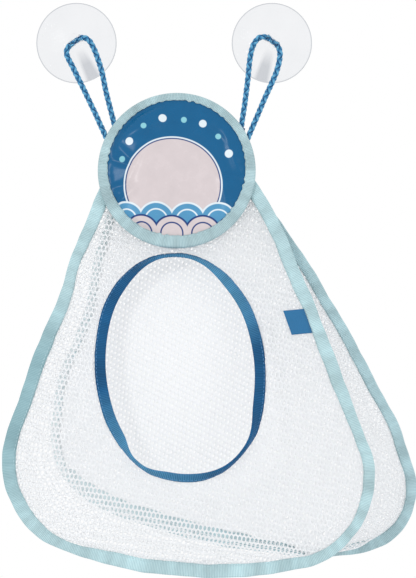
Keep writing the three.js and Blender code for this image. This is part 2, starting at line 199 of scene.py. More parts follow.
class NodeMaker:
    """Adds nodes to a tree, with values or links given by input."""

    def __init__(self, tree: Tree) -> None:
        """Starts with an empty tree."""
        self.tree = tree
        tree.nodes.clear()

    def add(self, kind: str, inputs: Inputs | None = None, **settings: object) -> bpy.types.Node:
        """Adds one node.

        Args:
            kind: The node's type.
            inputs: Values or sockets by input name or number.
            **settings: The node's own properties.

        Returns:
            The node.
        """
        node = self.tree.nodes.new(kind)
        for name, value in settings.items():
            setattr(node, name, value)
        for key, value in (inputs or {}).items():
            if isinstance(value, Socket):
                self.tree.links.new(value, node.inputs[key])
            else:
                node.inputs[key].default_value = value
        return node

    def get(self, kind: str, inputs: Inputs | None = None, **settings: object) -> Socket:
        """First output of a new node."""
        return self.add(kind, inputs, **settings).outputs[0]

    def group(self, tree: Tree, *values: float | Colour | Socket) -> Sequence[Socket]:
        """Outputs of a shared shader group."""
        return self.add("ShaderNodeGroup", dict(enumerate(values)), node_tree=tree).outputs

    def cloth(self) -> Socket:
        """Place along and across the cloth, in metres."""
        return self.get("ShaderNodeUVMap", uv_map="cloth")

    def spot(self) -> Socket:
        """Place in the shared frame, in metres."""
        return self.add("ShaderNodeTexCoord").outputs["Object"]

    def split(self, vector: Socket) -> Sequence[Socket]:
        """The three parts of a vector."""
        return self.add("ShaderNodeSeparateXYZ", {0: vector}).outputs

    def noise(self, place: Socket, scale: float | Socket, detail: float = 2.0,
              rough: float = 0.5) -> Socket:
        """Noise between nought and one."""
        values = {"Vector": place, "Scale": scale, "Detail": detail, "Roughness": rough}
        return self.get("ShaderNodeTexNoise", values)

    def math(self, operation: str, *values: float | Socket) -> Socket:
        """Result of a math node on one to three values."""
        return self.get("ShaderNodeMath", dict(enumerate(values)), operation=operation)

    def times(self, first: Socket, second: float | Socket) -> Socket:
        """Product of two values."""
        return self.math("MULTIPLY", first, second)

    def less(self, first: float | Socket, second: float | Socket) -> Socket:
        """The first value less the second."""
        return self.math("SUBTRACT", first, second)

    def away(self, place: Socket, middle: Triple = (0.0, 0.0, 0.0)) -> Socket:
        """Distance of a place from a middle."""
        node = self.add("ShaderNodeVectorMath", {0: place, 1: middle}, operation="DISTANCE")
        return node.outputs["Value"]

    def ramp(self, value: Socket, low: float | Socket, high: float | Socket, first: float = 0.0,
             last: float = 1.0, **settings: object) -> Socket:
        """Goes from first to last as the value goes from low to high."""
        return self.get("ShaderNodeMapRange", {0: value, 1: low, 2: high, 3: first, 4: last}, **settings)

    def within(self, value: Socket, edge: float | Socket, soft: float) -> Socket:
        """One where a value is below an edge, falling to nought over a soft width above it."""
        high = self.math("ADD", edge, soft) if isinstance(edge, Socket) else edge + soft
        return self.ramp(value, edge, high, 1.0, 0.0)

    def mix(self, share: Socket, first: Colour | Socket, second: Colour | Socket) -> Socket:
        """Colour between two colours."""
        return self.add("ShaderNodeMix", {0: share, 6: first, 7: second}, data_type="RGBA").outputs[2]

    def bump(self, height: Socket, distance: float, strength: float) -> Socket:
        """Normal of a surface with a height in metres times the distance."""
        return self.get("ShaderNodeBump", {"Strength": strength, "Distance": distance, "Height": height})


def new_tree(name: str, kind: str, inputs: dict[str, str],
             outputs: dict[str, str]) -> tuple[NodeMaker, list[Socket]]:
    """Node group with its sockets.

    Args:
        name: The group's name.
        kind: Shader or Geometry.
        inputs: Kind of each input by name.
        outputs: Kind of each output by name.

    Returns:
        Maker for the group's tree, and the inputs as they are inside it.
    """
    tree = bpy.data.node_groups.new(name, f"{kind}NodeTree")
    for way, sockets in (("INPUT", inputs), ("OUTPUT", outputs)):
        for label, socket in sockets.items():
            tree.interface.new_socket(label, in_out=way, socket_type=f"NodeSocket{socket}")
    maker = NodeMaker(tree)
    return maker, list(maker.add("NodeGroupInput").outputs)[:len(inputs)]


@cache
def rib_group() -> Tree:
    """Cross ribs of a grosgrain tape, on coordinates along and across the tape in metres.

    Returns:
        The group, made once.
    """
    filaments, unevenness = 2400.0, 420.0
    maker, (place, ribs) = new_tree(
        "tape ribs", "Shader", {"Coordinates": "Vector", "Ribs per metre": "Float"},
        {"Height": "Float", "Groove": "Float"})
    along, across, _ = maker.split(place)
    wander = maker.times(maker.noise(place, unevenness), 0.35)
    phase = maker.math("MULTIPLY_ADD", along, ribs, wander)
    wave = maker.math("SINE", maker.times(phase, FULL_TURN))
    rise = maker.math("MULTIPLY_ADD", wave, 0.5, 0.5)
    thread = maker.math("SINE", maker.times(across, FULL_TURN * filaments))
    height = maker.math("MULTIPLY_ADD", thread, 0.12, maker.math("POWER", rise, 0.6))
    maker.add("NodeGroupOutput", {0: height, 1: maker.math("POWER", maker.less(1.0, rise), 2.0)})
    return maker.tree


@cache
def weave_group() -> Tree:
    """Plain weave, on coordinates in metres.

    Returns:
        The group, made once.
    """
    maker, (place, threads) = new_tree(
        "plain weave", "Shader", {"Coordinates": "Vector", "Threads per metre": "Float"},
        {"Height": "Float", "Gap": "Float"})
    half_turns = [maker.times(maker.times(part, threads), math.pi) for part in maker.split(place)[:2]]
    warp, weft = [maker.math("SINE", turn) for turn in half_turns]
    flat = maker.times(maker.math("ABSOLUTE", warp), maker.math("ABSOLUTE", weft))
    height = maker.math("MULTIPLY_ADD", maker.times(warp, weft), 0.3, maker.math("POWER", flat, 0.4))
    maker.add("NodeGroupOutput", {0: height, 1: maker.less(1.0, maker.math("POWER", flat, 0.25))})
    return maker.tree


@cache
def mottle_group() -> Tree:
    """Uneven colouring and handling of cloth: a colour and a roughness that wander a little.

    Returns:
        The group, made once.
    """
    maker, (colour, place, scale, amount, rough) = new_tree(
        "cloth mottle", "Shader",
        {"Colour": "Color", "Coordinates": "Vector", "Scale": "Float", "Amount": "Float",
         "Roughness": "Float"},
        {"Colour": "Color", "Roughness": "Float"})
    swing = maker.times(maker.less(maker.noise(place, scale, 4.0, 0.6), 0.5), amount)
    value = maker.math("MULTIPLY_ADD", swing, 2.0, 1.0)
    shade = maker.get("ShaderNodeHueSaturation", {"Value": value, "Color": colour})
    maker.add("NodeGroupOutput", {0: shade, 1: maker.math("MULTIPLY_ADD", swing, 0.6, rough)})
    return maker.tree


def mottled(maker: NodeMaker, colour: Colour | Socket, place: Socket, scale: float, amount: float,
            roughness: float) -> Inputs:
    """Shader inputs of a colour and a roughness with the cloth mottle on them.

    Args:
        maker: The material's node maker.
        colour: Colour before the mottle.
        place: Coordinates of the mottle.
        scale: Fineness of the mottle.
        amount: How far it wanders.
        roughness: Roughness before the mottle.

    Returns:
        The two inputs by name.
    """
    shade, rough = maker.group(mottle_group(), colour, place, scale, amount, roughness)
    return {"Base Color": shade, "Roughness": rough}


# Finishes


@dataclass(frozen=True)
class Finish:
    """A surface finish, kept as one material by name.

    Where a finish has them, mottle is its scale, amount and roughness, and relief is the height in metres
    and the strength of its bump.
    """

    name: str

    def material(self) -> bpy.types.Material:
        """Makes the material once, and gives it back after that.

        Returns:
            The material.
        """
        made = bpy.data.materials.get(self.name)
        if made is None:
            made = bpy.data.materials.new(self.name)
            made.use_nodes = True
            maker = NodeMaker(made.node_tree)
            shader = maker.get("ShaderNodeBsdfPrincipled", self.dress(maker))
            maker.add("ShaderNodeOutputMaterial", {0: shader})
        return made

    def dress(self, maker: NodeMaker) -> Inputs:
        """Inputs of the shader; each finish has its own."""
        raise NotImplementedError


@dataclass(frozen=True)
class TapeFinish(Finish):
    """Ribbed grosgrain tape with painted shade in the grooves, and another tone on one stretch or a painted
    highlight on two lit sides.
    """

    colour: Colour
    groove_shade: Colour
    ribs: float = 740.0
    groove_share: float = 0.6
    mottle: Triple = (45.0, 0.65, 0.78)
    relief: Pair = (0.0003, 0.8)
    bands: Triple = (1.0, 0.3, 1.0)
    sheen: float = 0.12
    shine: float = 0.2
    other: Colour | None = None
    other_share: float = 0.56
    other_span: tuple[float, float, float, float] = (0.105, 0.165, 0.25, 0.32)
    lit: Colour | None = None
    lit_middle: Pair = (6.0, -277.0)
    lit_toward: float = 65.0
    lit_from: float = -0.2

    def dress(self, maker: NodeMaker) -> Inputs:
        """Ribs across the tape, by the piece's own coordinates along and across it.

        Args:
            maker: The material's node maker.

        Returns:
            Inputs of the shader.
        """
        place = maker.cloth()
        height, groove_shade = maker.group(rib_group(), place, self.ribs)
        # Painted highlight: the lit tone is mixed in on the two sides of the loop that are lit most.
        dye_and_painted_light = maker.mix(self.lobes(maker), self.colour, self.lit) if self.lit else self.colour
        # Painted shade: the groove shade colour goes where the ribs dip.
        ribbed = maker.mix(maker.times(groove_shade, self.groove_share), dye_and_painted_light, self.groove_shade)
        drawn = maker.get("ShaderNodeMapping", {"Vector": place, "Scale": self.bands})
        inputs = mottled(maker, ribbed, drawn, *self.mottle)
        if self.other:
            inputs["Base Color"] = maker.mix(self.stretch(maker, place), inputs["Base Color"], self.other)
        normal = maker.bump(height, *self.relief)
        return inputs | {"Sheen Weight": self.sheen, "Specular IOR Level": self.shine, "Normal": normal}

    def stretch(self, maker: NodeMaker, place: Socket) -> Socket:
        """Share of the other tone, by the length along the tape.

        Args:
            maker: The material's node maker.
            place: Place along and across the tape.

        Returns:
            The share.
        """
        rise, full, hold, end = self.other_span
        run = maker.split(place)[0]
        begun = maker.ramp(run, rise, full, 0.0, self.other_share)
        return maker.times(begun, maker.ramp(run, hold, end, 1.0, 0.0))

    def lobes(self, maker: NodeMaker) -> Socket:
        """Share of the painted highlight: one where a loop of tape is lit most, on two opposite sides, and
        nought between them.

        Args:
            maker: The material's node maker.

        Returns:
            The share of the painted highlight tone.
        """
        x, _, z = maker.split(maker.spot())
        across, up = [maker.less(part, mid * MM) for part, mid in zip((x, z), self.lit_middle)]
        turn = maker.less(maker.math("ARCTAN2", up, across), math.radians(self.lit_toward))
        return maker.ramp(maker.math("COSINE", maker.times(turn, 2.0)), self.lit_from, 1.0)


@dataclass(frozen=True)
class YarnFinish(Finish):
    """Yarn or sewing thread: an uneven colour on a fine bump of fibres."""

    colour: Colour
    mottle: Triple = (700.0, 0.2, 0.55)
    fibres: float = 3000.0
    relief: Pair = (0.0001, 0.6)

    def dye_and_painted_light(self, maker: NodeMaker) -> Colour | Socket:
        """Colour before it is made uneven."""
        return self.colour

    def dress(self, maker: NodeMaker) -> Inputs:
        """Unevenness and fibres by place.

        Args:
            maker: The material's node maker.

        Returns:
            Inputs of the shader.
        """
        place = maker.spot()
        fibres = maker.noise(place, self.fibres)
        return mottled(maker, self.dye_and_painted_light(maker), place, *self.mottle) | {
            "Normal": maker.bump(fibres, *self.relief)}


@dataclass(frozen=True)
class NetFinish(YarnFinish):
    """White knitted net yarn, which light soaks into; how far is in metres."""

    soak: float = 0.002

    def dress(self, maker: NodeMaker) -> Inputs:
        """Yarn with light in it."""
        return super().dress(maker) | {"Subsurface Weight": 1.0, "Subsurface Radius": (1.0, 1.0, 1.0),
                                       "Subsurface Scale": self.soak}


@dataclass(frozen=True)
class CordFinish(YarnFinish):
    """Braided cord, with a painted highlight where the strands come up and painted shade where they dive.
    """

    # Painted shade where a strand dives, and painted highlight where it comes up.
    low: Colour = srgb(14, 74, 120)
    high: Colour = srgb(104, 172, 206)
    low_at: float = 0.12
    middle_at: float = 0.55
    sheen: float = 0.08
    shine: float = 0.2

    def dye_and_painted_light(self, maker: NodeMaker) -> Socket:
        """Colour with painted shade and highlight by the strand's height in the braid, kept on the mesh as
        an attribute.

        Args:
            maker: The material's node maker.

        Returns:
            The colour.
        """
        lift = maker.add("ShaderNodeAttribute", attribute_name="lift").outputs["Fac"]
        ramp = maker.add("ShaderNodeValToRGB", {0: lift})
        first, last = ramp.color_ramp.elements
        first.position = self.low_at
        first.color = self.low
        last.color = self.high
        ramp.color_ramp.elements.new(self.middle_at).color = self.colour
        return ramp.outputs[0]

    def dress(self, maker: NodeMaker) -> Inputs:
        """Yarn with a faint sheen."""
        return super().dress(maker) | {"Sheen Weight": self.sheen, "Specular IOR Level": self.shine}


@dataclass(frozen=True)
class WovenFinish(Finish):
    """Plain woven cloth: the head's lining and the side label."""

    colour: Colour
    gap: Colour
    threads: float
    mottle: Triple = (90.0, 0.08, 0.8)
    relief: Pair = (0.00015, 0.7)
    sheen: float = 0.1

    def dress(self, maker: NodeMaker) -> Inputs:
        """Weave on the piece's own coordinates.

        Args:
            maker: The material's node maker.

        Returns:
            Inputs of the shader.
        """
        place = maker.cloth()
        height, gap = maker.group(weave_group(), place, self.threads)
        # Painted shade: the gap colour goes between the threads, where the weave dips.
        woven = maker.mix(gap, self.colour, self.gap)
        return mottled(maker, woven, place, *self.mottle) | {
            "Sheen Weight": self.sheen, "Normal": maker.bump(height, *self.relief)}


@dataclass(frozen=True)
class ClearPlastic(Finish):
    """Clear soft vinyl, a little grey and clouded, greyer at its edge, with a painted dark reflection in a
    fan below the knob.

    Spans, halves and soft widths are in metres: the edge's by radius and the fan's below the knob.
    """

    centre: float
    turn: float
    tint: Colour = srgb(244, 245, 247)
    cloud: Colour = srgb(232, 234, 237)
    painted_reflection: Colour = srgb(206, 209, 214)
    edge: Colour = srgb(204, 207, 212)
    edge_span: Pair = (0.0331, 0.0338)
    fan_span: Pair = (0.006, 0.02)
    fan_spread: float = 0.1
    fan_half: float = 0.0008
    fan_soft: float = 0.0035
    clouds: float = 55.0
    roughness: float = 0.26
    index: float = 1.14
    shine: float = 0.1

    def dress(self, maker: NodeMaker) -> Inputs:
        """Glass-like, with a painted dark reflection in a grey fan below the knob.

        Args:
            maker: The material's node maker.

        Returns:
            Inputs of the shader.
        """
        place = maker.spot()
        shift = (-self.centre * MM, 0.0, 0.0)
        centred = maker.get("ShaderNodeMapping", {"Vector": place, "Location": shift})
        lean = (0.0, math.radians(self.turn), 0.0)
        aside, _, up = maker.split(maker.get("ShaderNodeMapping", {"Vector": centred, "Rotation": lean}))
        down = maker.times(up, -1.0)
        fan_edge = maker.math("MULTIPLY_ADD", down, self.fan_spread, self.fan_half)
        fan = maker.within(maker.math("ABSOLUTE", aside), fan_edge, self.fan_soft)
        clouds = maker.times(maker.noise(place, self.clouds, 1.0), 0.5)
        body = maker.mix(clouds, self.tint, self.cloud)
        flat = {0: centred, 1: (1.0, 0.0, 1.0)}
        away = maker.away(maker.get("ShaderNodeVectorMath", flat, operation="MULTIPLY"))
        body = maker.mix(maker.ramp(away, *self.edge_span), body, self.edge)
        # Painted dark reflection: a grey fan below the knob.
        colour = maker.mix(maker.times(fan, maker.ramp(down, *self.fan_span)), body, self.painted_reflection)
        return {"Base Color": colour, "Roughness": self.roughness, "Transmission Weight": 1.0,
                "IOR": self.index, "Specular IOR Level": self.shine}


@dataclass(frozen=True)
class HeadPrint(Finish):
    """Coated head cloth, printed with a plain sun over rows of waves and a scatter of dots.

    A wave row has its height and shift along, and a dot its place and radius, all in millimetres.
    """

    field_blue: Colour = srgb(14, 94, 140)
    sun: Colour = srgb(214, 202, 202)
    navy: Colour = srgb(28, 62, 122)
    pale: Colour = srgb(226, 236, 240)
    aqua: Colour = srgb(140, 204, 214)
    mid_blue: Colour = srgb(84, 150, 190)
    sun_middle: Triple = (-3.0, -13.0, 0.0)
    sun_edges: Triple = (41.5, 40.2, 39.2)
    soft: float = 0.5
    wave_rows: tuple[Pair, ...] = ((-43.0, 4.0), (-54.0, 17.0))
    wave_radius: float = 15.5
    wave_pitch: float = 26.0
    wave_edges: tuple[float, ...] = (1.0, 0.9, 0.62, 0.54)
    wave_soft: float = 0.03
    threads: float = 2600.0
    mottle: Triple = (70.0, 0.1, 0.27)
    relief: Pair = (0.00008, 0.08)
    shine: float = 0.22
    dots: tuple[Triple, ...] = (
        (-46.0, 9.0, 2.2), (-40.0, 24.0, 3.0), (-28.0, 37.0, 2.2), (-12.0, 44.0, 3.2),
        (6.0, 43.0, 2.2), (22.0, 40.0, 3.0), (35.0, 29.0, 2.2), (44.0, 14.0, 3.2))

    def scallops(self, maker: NodeMaker, place: Socket, height: float, shift: float) -> Socket:
        """Distance from the nearest scallop of a row of waves, as a share of its radius.

        Args:
            maker: The material's node maker.
            place: Place on the cloth, in millimetres.
            height: Height of the row.
            shift: The row's shift along.

        Returns:
            The distance.
        """
        x, y, _ = maker.split(place)
        along = maker.math("FLOORED_MODULO", maker.math("ADD", x, shift), self.wave_pitch)
        up = maker.math("MAXIMUM", maker.less(y, height), 0.0)
        spot = maker.get("ShaderNodeCombineXYZ", {0: maker.less(along, self.wave_pitch / 2), 1: up})
        return maker.math("DIVIDE", maker.away(spot), self.wave_radius)

    def dress(self, maker: NodeMaker) -> Inputs:
        """Layers the print from the field up, then the coating's sheen and weave.

        Args:
            maker: The material's node maker.

        Returns:
            Inputs of the shader.
        """
        metres = maker.cloth()
        place = maker.get("ShaderNodeVectorMath", {0: metres, 3: 1 / MM}, operation="SCALE")
        colour: Colour | Socket = self.field_blue
        away = maker.away(place, self.sun_middle)
        for edge, tone in zip(self.sun_edges, (self.pale, self.navy, self.sun)):
            colour = maker.mix(maker.within(away, edge, self.soft), colour, tone)
        tones = ((self.mid_blue, self.pale), (self.sun, self.navy))
        for (height, shift), (fill, line) in zip(self.wave_rows, tones):
            share = self.scallops(maker, place, height, shift)
            for edge, tone in zip(self.wave_edges, (line, fill, line, fill)):
                colour = maker.mix(maker.within(share, edge, self.wave_soft), colour, tone)
        for x, y, size in self.dots:
            tone = self.aqua if size < 3.0 else self.pale
            away = maker.away(place, (x, y, 0.0))
            colour = maker.mix(maker.within(away, size, self.soft), colour, tone)
        height, _ = maker.group(weave_group(), metres, self.threads)
        return mottled(maker, colour, metres, *self.mottle) | {
            "Specular IOR Level": self.shine, "Normal": maker.bump(height, *self.relief)}


@dataclass(frozen=True)
class FloorFinish(Finish):
    """Plain pale studio floor, which fades out into the white round it."""

    colour: Colour = srgb(236, 237, 238)
    mottle: Triple = (3.0, 0.01, 0.85)
    fade_from: float = 0.75
    fade_to: float = 1.2

    def dress(self, maker: NodeMaker) -> Inputs:
        """Matt, with a faint unevenness.

        Args:
            maker: The material's node maker.

        Returns:
            Inputs of the shader.
        """
        place = maker.spot()
        fade = maker.ramp(maker.away(place), self.fade_from, self.fade_to, 1.0, 0.0,
                          interpolation_type="SMOOTHSTEP")
        return mottled(maker, self.colour, place, *self.mottle) | {"Alpha": fade}


NET = NetFinish("white net yarn", srgb(254, 254, 255), (45.0, 0.03, 0.62), 2600.0, (0.0001, 0.12))
CORD = CordFinish("blue braided cord", srgb(44, 118, 166), (900.0, 0.22, 0.62), 2200.0, (0.0002, 0.7))
LIGHT_THREAD = YarnFinish("light blue thread", srgb(190, 216, 221))
DARK_THREAD = YarnFinish("dark blue thread", srgb(30, 76, 128))
BLUE_THREAD = YarnFinish("blue thread", srgb(88, 142, 190))
# The second colour of each tape is painted shade in its grooves.
LIGHT_TAPE = TapeFinish("light blue grosgrain", srgb(187, 211, 214), srgb(126, 167, 175))
FRONT_TAPE = TapeFinish("light blue grosgrain, deeper on one side", srgb(198, 225, 228),
                        srgb(134, 178, 186), other=srgb(112, 158, 168))
# The pale tone at the back tape's start is painted light, brightening the stretch that lies in shade behind
# the nets.
BACK_TAPE = TapeFinish("light blue grosgrain, paler at one end", srgb(187, 214, 218), srgb(132, 172, 181),
                       other=srgb(244, 254, 254), other_share=0.95, other_span=(-0.1, 0.0, 0.24, 0.5))
# The dark tape's lit tone is a painted highlight on two sides of the opening's loop.
DARK_TAPE = TapeFinish("dark blue grosgrain", srgb(31, 94, 140), srgb(10, 52, 92), sheen=0.04,
                       lit=srgb(86, 152, 190))
# The second colour of each woven cloth is painted shade between its threads.
LINING = WovenFinish("white lining", srgb(238, 240, 242), srgb(196, 200, 206), 2200.0)
LABEL_CLOTH = WovenFinish("blue woven label", srgb(24, 118, 170), srgb(12, 78, 122), 2800.0,
                          (90.0, 0.08, 0.55))
HEAD_CLOTH = HeadPrint("printed head cloth")


# Meshes

STITCH_PITCH = 3.3
STITCH_LENGTH = 2.7
STITCH_RADIUS = 0.27


def in_scene(name: str, data: bpy.types.ID) -> Object:
    """New object with a mesh, a lamp or a camera, in the scene.

    Args:
        name: The object's name.
        data: Its mesh, lamp or camera.

    Returns:
        The object.
    """
    made = bpy.data.objects.new(name, data)
    bpy.context.scene.collection.objects.link(made)
    return made


def apply_modifier(made: Object, modifier: bpy.types.Modifier, all_layers: bool = False) -> None:
    """Gives an object the mesh that its modifier makes, and takes the modifier off.

    Args:
        made: The object.
        modifier: Its only modifier.
        all_layers: Whether all data layers are kept.
    """
    depsgraph = bpy.context.evaluated_depsgraph_get()
    made.data = bpy.data.meshes.new_from_object(
        made.evaluated_get(depsgraph), preserve_all_data_layers=all_layers, depsgraph=depsgraph)
    made.modifiers.remove(modifier)


def piece(name: str, points: Array, faces: Sequence, finish: Finish | None = None, uv: Array | None = None,
          outward: bool = True) -> Object:
    """Mesh object at the origin, with its place in its mesh.

    Args:
        name: The piece's name.
        points: Corners in millimetres.
        faces: Corner numbers of each face.
        finish: Surface finish, if it has one yet.
        uv: Cloth coordinates in metres, for each corner of each face.
        outward: Whether to turn all faces outwards.

    Returns:
        The object, in the scene.
    """
    mesh = bpy.data.meshes.new(name)
    mesh.from_pydata((np.asarray(points, float).reshape(-1, 3) * MM).tolist(), [], [list(f) for f in faces])
    if uv is not None:
        mesh.uv_layers.new(name="cloth").data.foreach_set("uv", np.asarray(uv, np.float32).ravel())
    if outward:
        turn_outward(mesh)
    mesh.polygons.foreach_set("use_smooth", [True] * len(mesh.polygons))
    if finish is not None:
        mesh.materials.append(finish.material())
    return in_scene(name, mesh)


def turn_outward(mesh: bpy.types.Mesh) -> None:
    """Turns the faces of a closed mesh outwards.

    Args:
        mesh: The mesh, changed in place.
    """
    work = bmesh.new()
    work.from_mesh(mesh)
    bmesh.ops.recalc_face_normals(work, faces=work.faces)
    work.to_mesh(mesh)
    work.free()


def placed(made: Object, body: Body, node: str = "") -> Object:
    """Has a piece ride on a body, in place of a node of the part where one is named.

    Args:
        made: The piece.
        body: Body that it rides on.
        node: Node that it replaces, if any.

    Returns:
        The piece.
    """
    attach(made, body.value)
    if node:
        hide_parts(node)
    return made


def ring_faces(hub: int, first: int, rings: int, spokes: int) -> list[list[int]]:
    """Faces over rings of points: a fan from a hub to the first ring, and quads from each ring to the next.

    Args:
        hub: Number of the hub's point.
        first: Number of the first ring's first point.
        rings: How many rings there are.
        spokes: How many points a ring has.

    Returns:
        Point numbers of each face.
    """
    faces = []
    for spoke in range(spokes):
        here, beside = first + spoke, first + (spoke + 1) % spokes
        faces.append([hub, here, beside])
        for inner in range(0, (rings - 1) * spokes, spokes):
            outer = inner + spokes
            faces.append([here + inner, here + outer, beside + outer, beside + inner])
    return faces


def swept(grid: Array, run: Array, across: Array, loop: bool) -> tuple[Array, list, Array]:
    """Closed skin over rows of points, each row a closed section.

    Args:
        grid: Points as rows, columns and x, y, z.
        run: Length along the sweep at each row, and once more for the end where it is a loop.
        across: Coordinate across, for each column.
        loop: Whether the last row meets the first.

    Returns:
        Points, faces and cloth coordinates.
    """
    rows, columns = grid.shape[:2]
    i, k = np.meshgrid(np.arange(rows if loop else rows - 1), np.arange(columns), indexing="ij")
    j, m = (i + 1) % rows, (k + 1) % columns
    corners = [i * columns + k, i * columns + m, j * columns + m, j * columns + k]
    quads = np.stack(corners, -1).reshape(-1, 4)
    u = np.stack([run[i], run[i], run[i + 1], run[i + 1]], -1)
    v = np.stack([across[k], across[m], across[m], across[k]], -1)
    uv = np.stack([u, v], -1).reshape(-1, 2) * MM
    faces = quads.tolist()
    if not loop:
        for row in (0, rows - 1):
            faces.append((row * columns + np.arange(columns)).tolist())
            uv = np.vstack([uv, np.stack([np.full(columns, run[row]), across], -1) * MM])
    return grid.reshape(-1, 3), faces, uv


def finished(maker: NodeMaker, shape: Socket, finish: Socket) -> Tree:
    """Ends a Geometry Nodes tree: instances made real, smooth, with the finish on.

    Args:
        maker: The tree's node maker.
        shape: Geometry so far.
        finish: The material input.

    Returns:
        The tree.
    """
    real = maker.get("GeometryNodeRealizeInstances", {0: shape})
    even = maker.get("GeometryNodeSetShadeSmooth", {"Geometry": real})
    dressed = maker.get("GeometryNodeSetMaterial", {"Geometry": even, "Material": finish})
    maker.add("NodeGroupOutput", {0: dressed})
    return maker.tree


@cache
def net_tree() -> Tree:
    """Turns each cell of a sheet of cells into a hole with rounded yarn round it.

    Returns:
        The tree, made once.
    """
    maker, (cells, hole, thick, weld, finish) = new_tree(
        "net strands", "Geometry",
        {"Cells": "Geometry", "Hole share": "Float", "Thickness": "Float", "Weld": "Float",
         "Finish": "Material"},
        {"Net": "Geometry"})
    normal = maker.get("GeometryNodeInputNormal")
    up = maker.get("ShaderNodeVectorMath", {0: normal, 3: maker.times(thick, 0.5)}, operation="SCALE")
    top = maker.get("GeometryNodeSetPosition", {"Geometry": cells, "Offset": up})
    border = maker.math("LESS_THAN", maker.get("GeometryNodeInputMeshEdgeNeighbors"), 1.5)
    hem = maker.add("GeometryNodeExtrudeMesh", mode="EDGES", inputs={
        "Mesh": top, "Selection": border, "Offset": normal, "Offset Scale": maker.times(thick, -1.0)})
    shape = hem.outputs["Mesh"]
    chosen = maker.get("FunctionNodeBooleanMath", {0: hem.outputs["Side"]}, operation="NOT")
    for depth, scale in ((-0.25, hole), (-0.5, None), (-0.25, maker.math("DIVIDE", 1.0, hole))):
        ring = maker.add("GeometryNodeExtrudeMesh", mode="FACES", inputs={
            "Mesh": shape, "Selection": chosen, "Offset Scale": maker.times(thick, depth),
            "Individual": True})
        shape, chosen = ring.outputs["Mesh"], ring.outputs["Top"]
        if scale is not None:
            shape = maker.get("GeometryNodeScaleElements", domain="FACE", inputs={
                "Geometry": shape, "Selection": chosen, "Scale": scale})
    opened = maker.get("GeometryNodeDeleteGeometry", {"Geometry": shape, "Selection": chosen},
                       domain="FACE", mode="ONLY_FACE")
    joined = maker.get("GeometryNodeMergeByDistance", {"Geometry": opened, "Distance": weld})
    return finished(maker, joined, finish)


@cache
def strand_tree() -> Tree:
    """Sweeps round yarn along lines of points.

    Returns:
        The tree, made once.
    """
    maker, (lines, radius, sides, finish) = new_tree(
        "round strands", "Geometry",
        {"Lines": "Geometry", "Radius": "Float", "Sides": "Int", "Finish": "Material"},
        {"Strands": "Geometry"})
    line = maker.get("GeometryNodeMeshToCurve", {"Mesh": lines})
    ring = maker.get("GeometryNodeCurvePrimitiveCircle", {"Resolution": sides, "Radius": radius})
    tube = maker.get("GeometryNodeCurveToMesh", {"Curve": line, "Profile Curve": ring, "Fill Caps": True})
    return finished(maker, tube, finish)


@cache
def stitch_tree() -> Tree:
    """Lays stitches end to end along seam lines.

    Returns:
        The tree, made once.
    """
    maker, (seams, pitch, length, thread, finish) = new_tree(
        "stitch row", "Geometry",
        {"Seams": "Geometry", "Pitch": "Float", "Length": "Float", "Thread": "Float", "Finish": "Material"},
        {"Stitches": "Geometry"})
    line = maker.get("GeometryNodeMeshToCurve", {"Mesh": seams})
    places = maker.get("GeometryNodeResampleCurve", {"Curve": line, "Length": pitch}, mode="LENGTH")
    ball = maker.get("GeometryNodeMeshUVSphere", {"Segments": 6, "Rings": 4, "Radius": 1.0})
    size = maker.get("ShaderNodeCombineXYZ", {0: maker.times(length, 0.5), 1: thread, 2: thread})
    stitch = maker.get("GeometryNodeTransform", {"Geometry": ball, "Scale": size})
    along = maker.get("GeometryNodeInputTangent")
    turn = maker.get("FunctionNodeAlignRotationToVector", {"Vector": along}, axis="X")
    laid = {"Points": places, "Instance": stitch, "Rotation": turn}
    return finished(maker, maker.get("GeometryNodeInstanceOnPoints", laid), finish)


def grown(name: str, base: bpy.types.Mesh, tree: Tree, **values: object) -> Object:
    """Plain mesh piece that a tree grows from a base mesh.

    Args:
        name: The piece's name.
        base: Mesh that goes into the tree.
        tree: The Geometry Nodes tree.
        **values: The tree's inputs by name, with _ for a space.

    Returns:
        The object, with no modifier left on it.
    """
    made = in_scene(name, base)
    modifier = made.modifiers.new("grow", "NODES")
    modifier.node_group = tree
    for item in tree.interface.items_tree:
        key = item.name.replace(" ", "_")
        if item.in_out == "INPUT" and key in values:
            modifier[item.identifier] = values[key]
    apply_modifier(made, modifier, all_layers=True)
    made.data.name = name
    bpy.data.meshes.remove(base)
    return made


def lines_mesh(lines: Sequence[Array], lift: Sequence[Array] | None = None) -> bpy.types.Mesh:
    """Mesh of edges along lines.

    Args:
        lines: Points of each line, in millimetres.
        lift: A value at each point, kept as the attribute lift.

    Returns:
        The mesh.
    """
    edges, count = [], 0
    for line in lines:
        steps = np.arange(count, count + len(line) - 1)
        edges.append(np.stack([steps, steps + 1], -1))
        count += len(line)
    mesh = bpy.data.meshes.new("lines")
    mesh.from_pydata((np.vstack(lines) * MM).tolist(), np.vstack(edges).tolist(), [])
    if lift is not None:
        kept = mesh.attributes.new("lift", "FLOAT", "POINT")
        kept.data.foreach_set("value", np.concatenate(lift).astype(np.float32))
    return mesh


def stitched(name: str, lines: Sequence[Array], finish: Finish, body: Body) -> Object:
    """Rows of stitches along seam lines, riding on a body.

    Args:
        name: The piece's name.
        lines: Points of each seam.
        finish: The thread.
        body: Body that it rides on.

    Returns:
        The stitches.
    """
    made = grown(name, lines_mesh(lines), stitch_tree(), Pitch=STITCH_PITCH * MM, Length=STITCH_LENGTH * MM,
                 Thread=STITCH_RADIUS * MM, Finish=finish.material())
    return placed(made, body)


# Sewn pieces


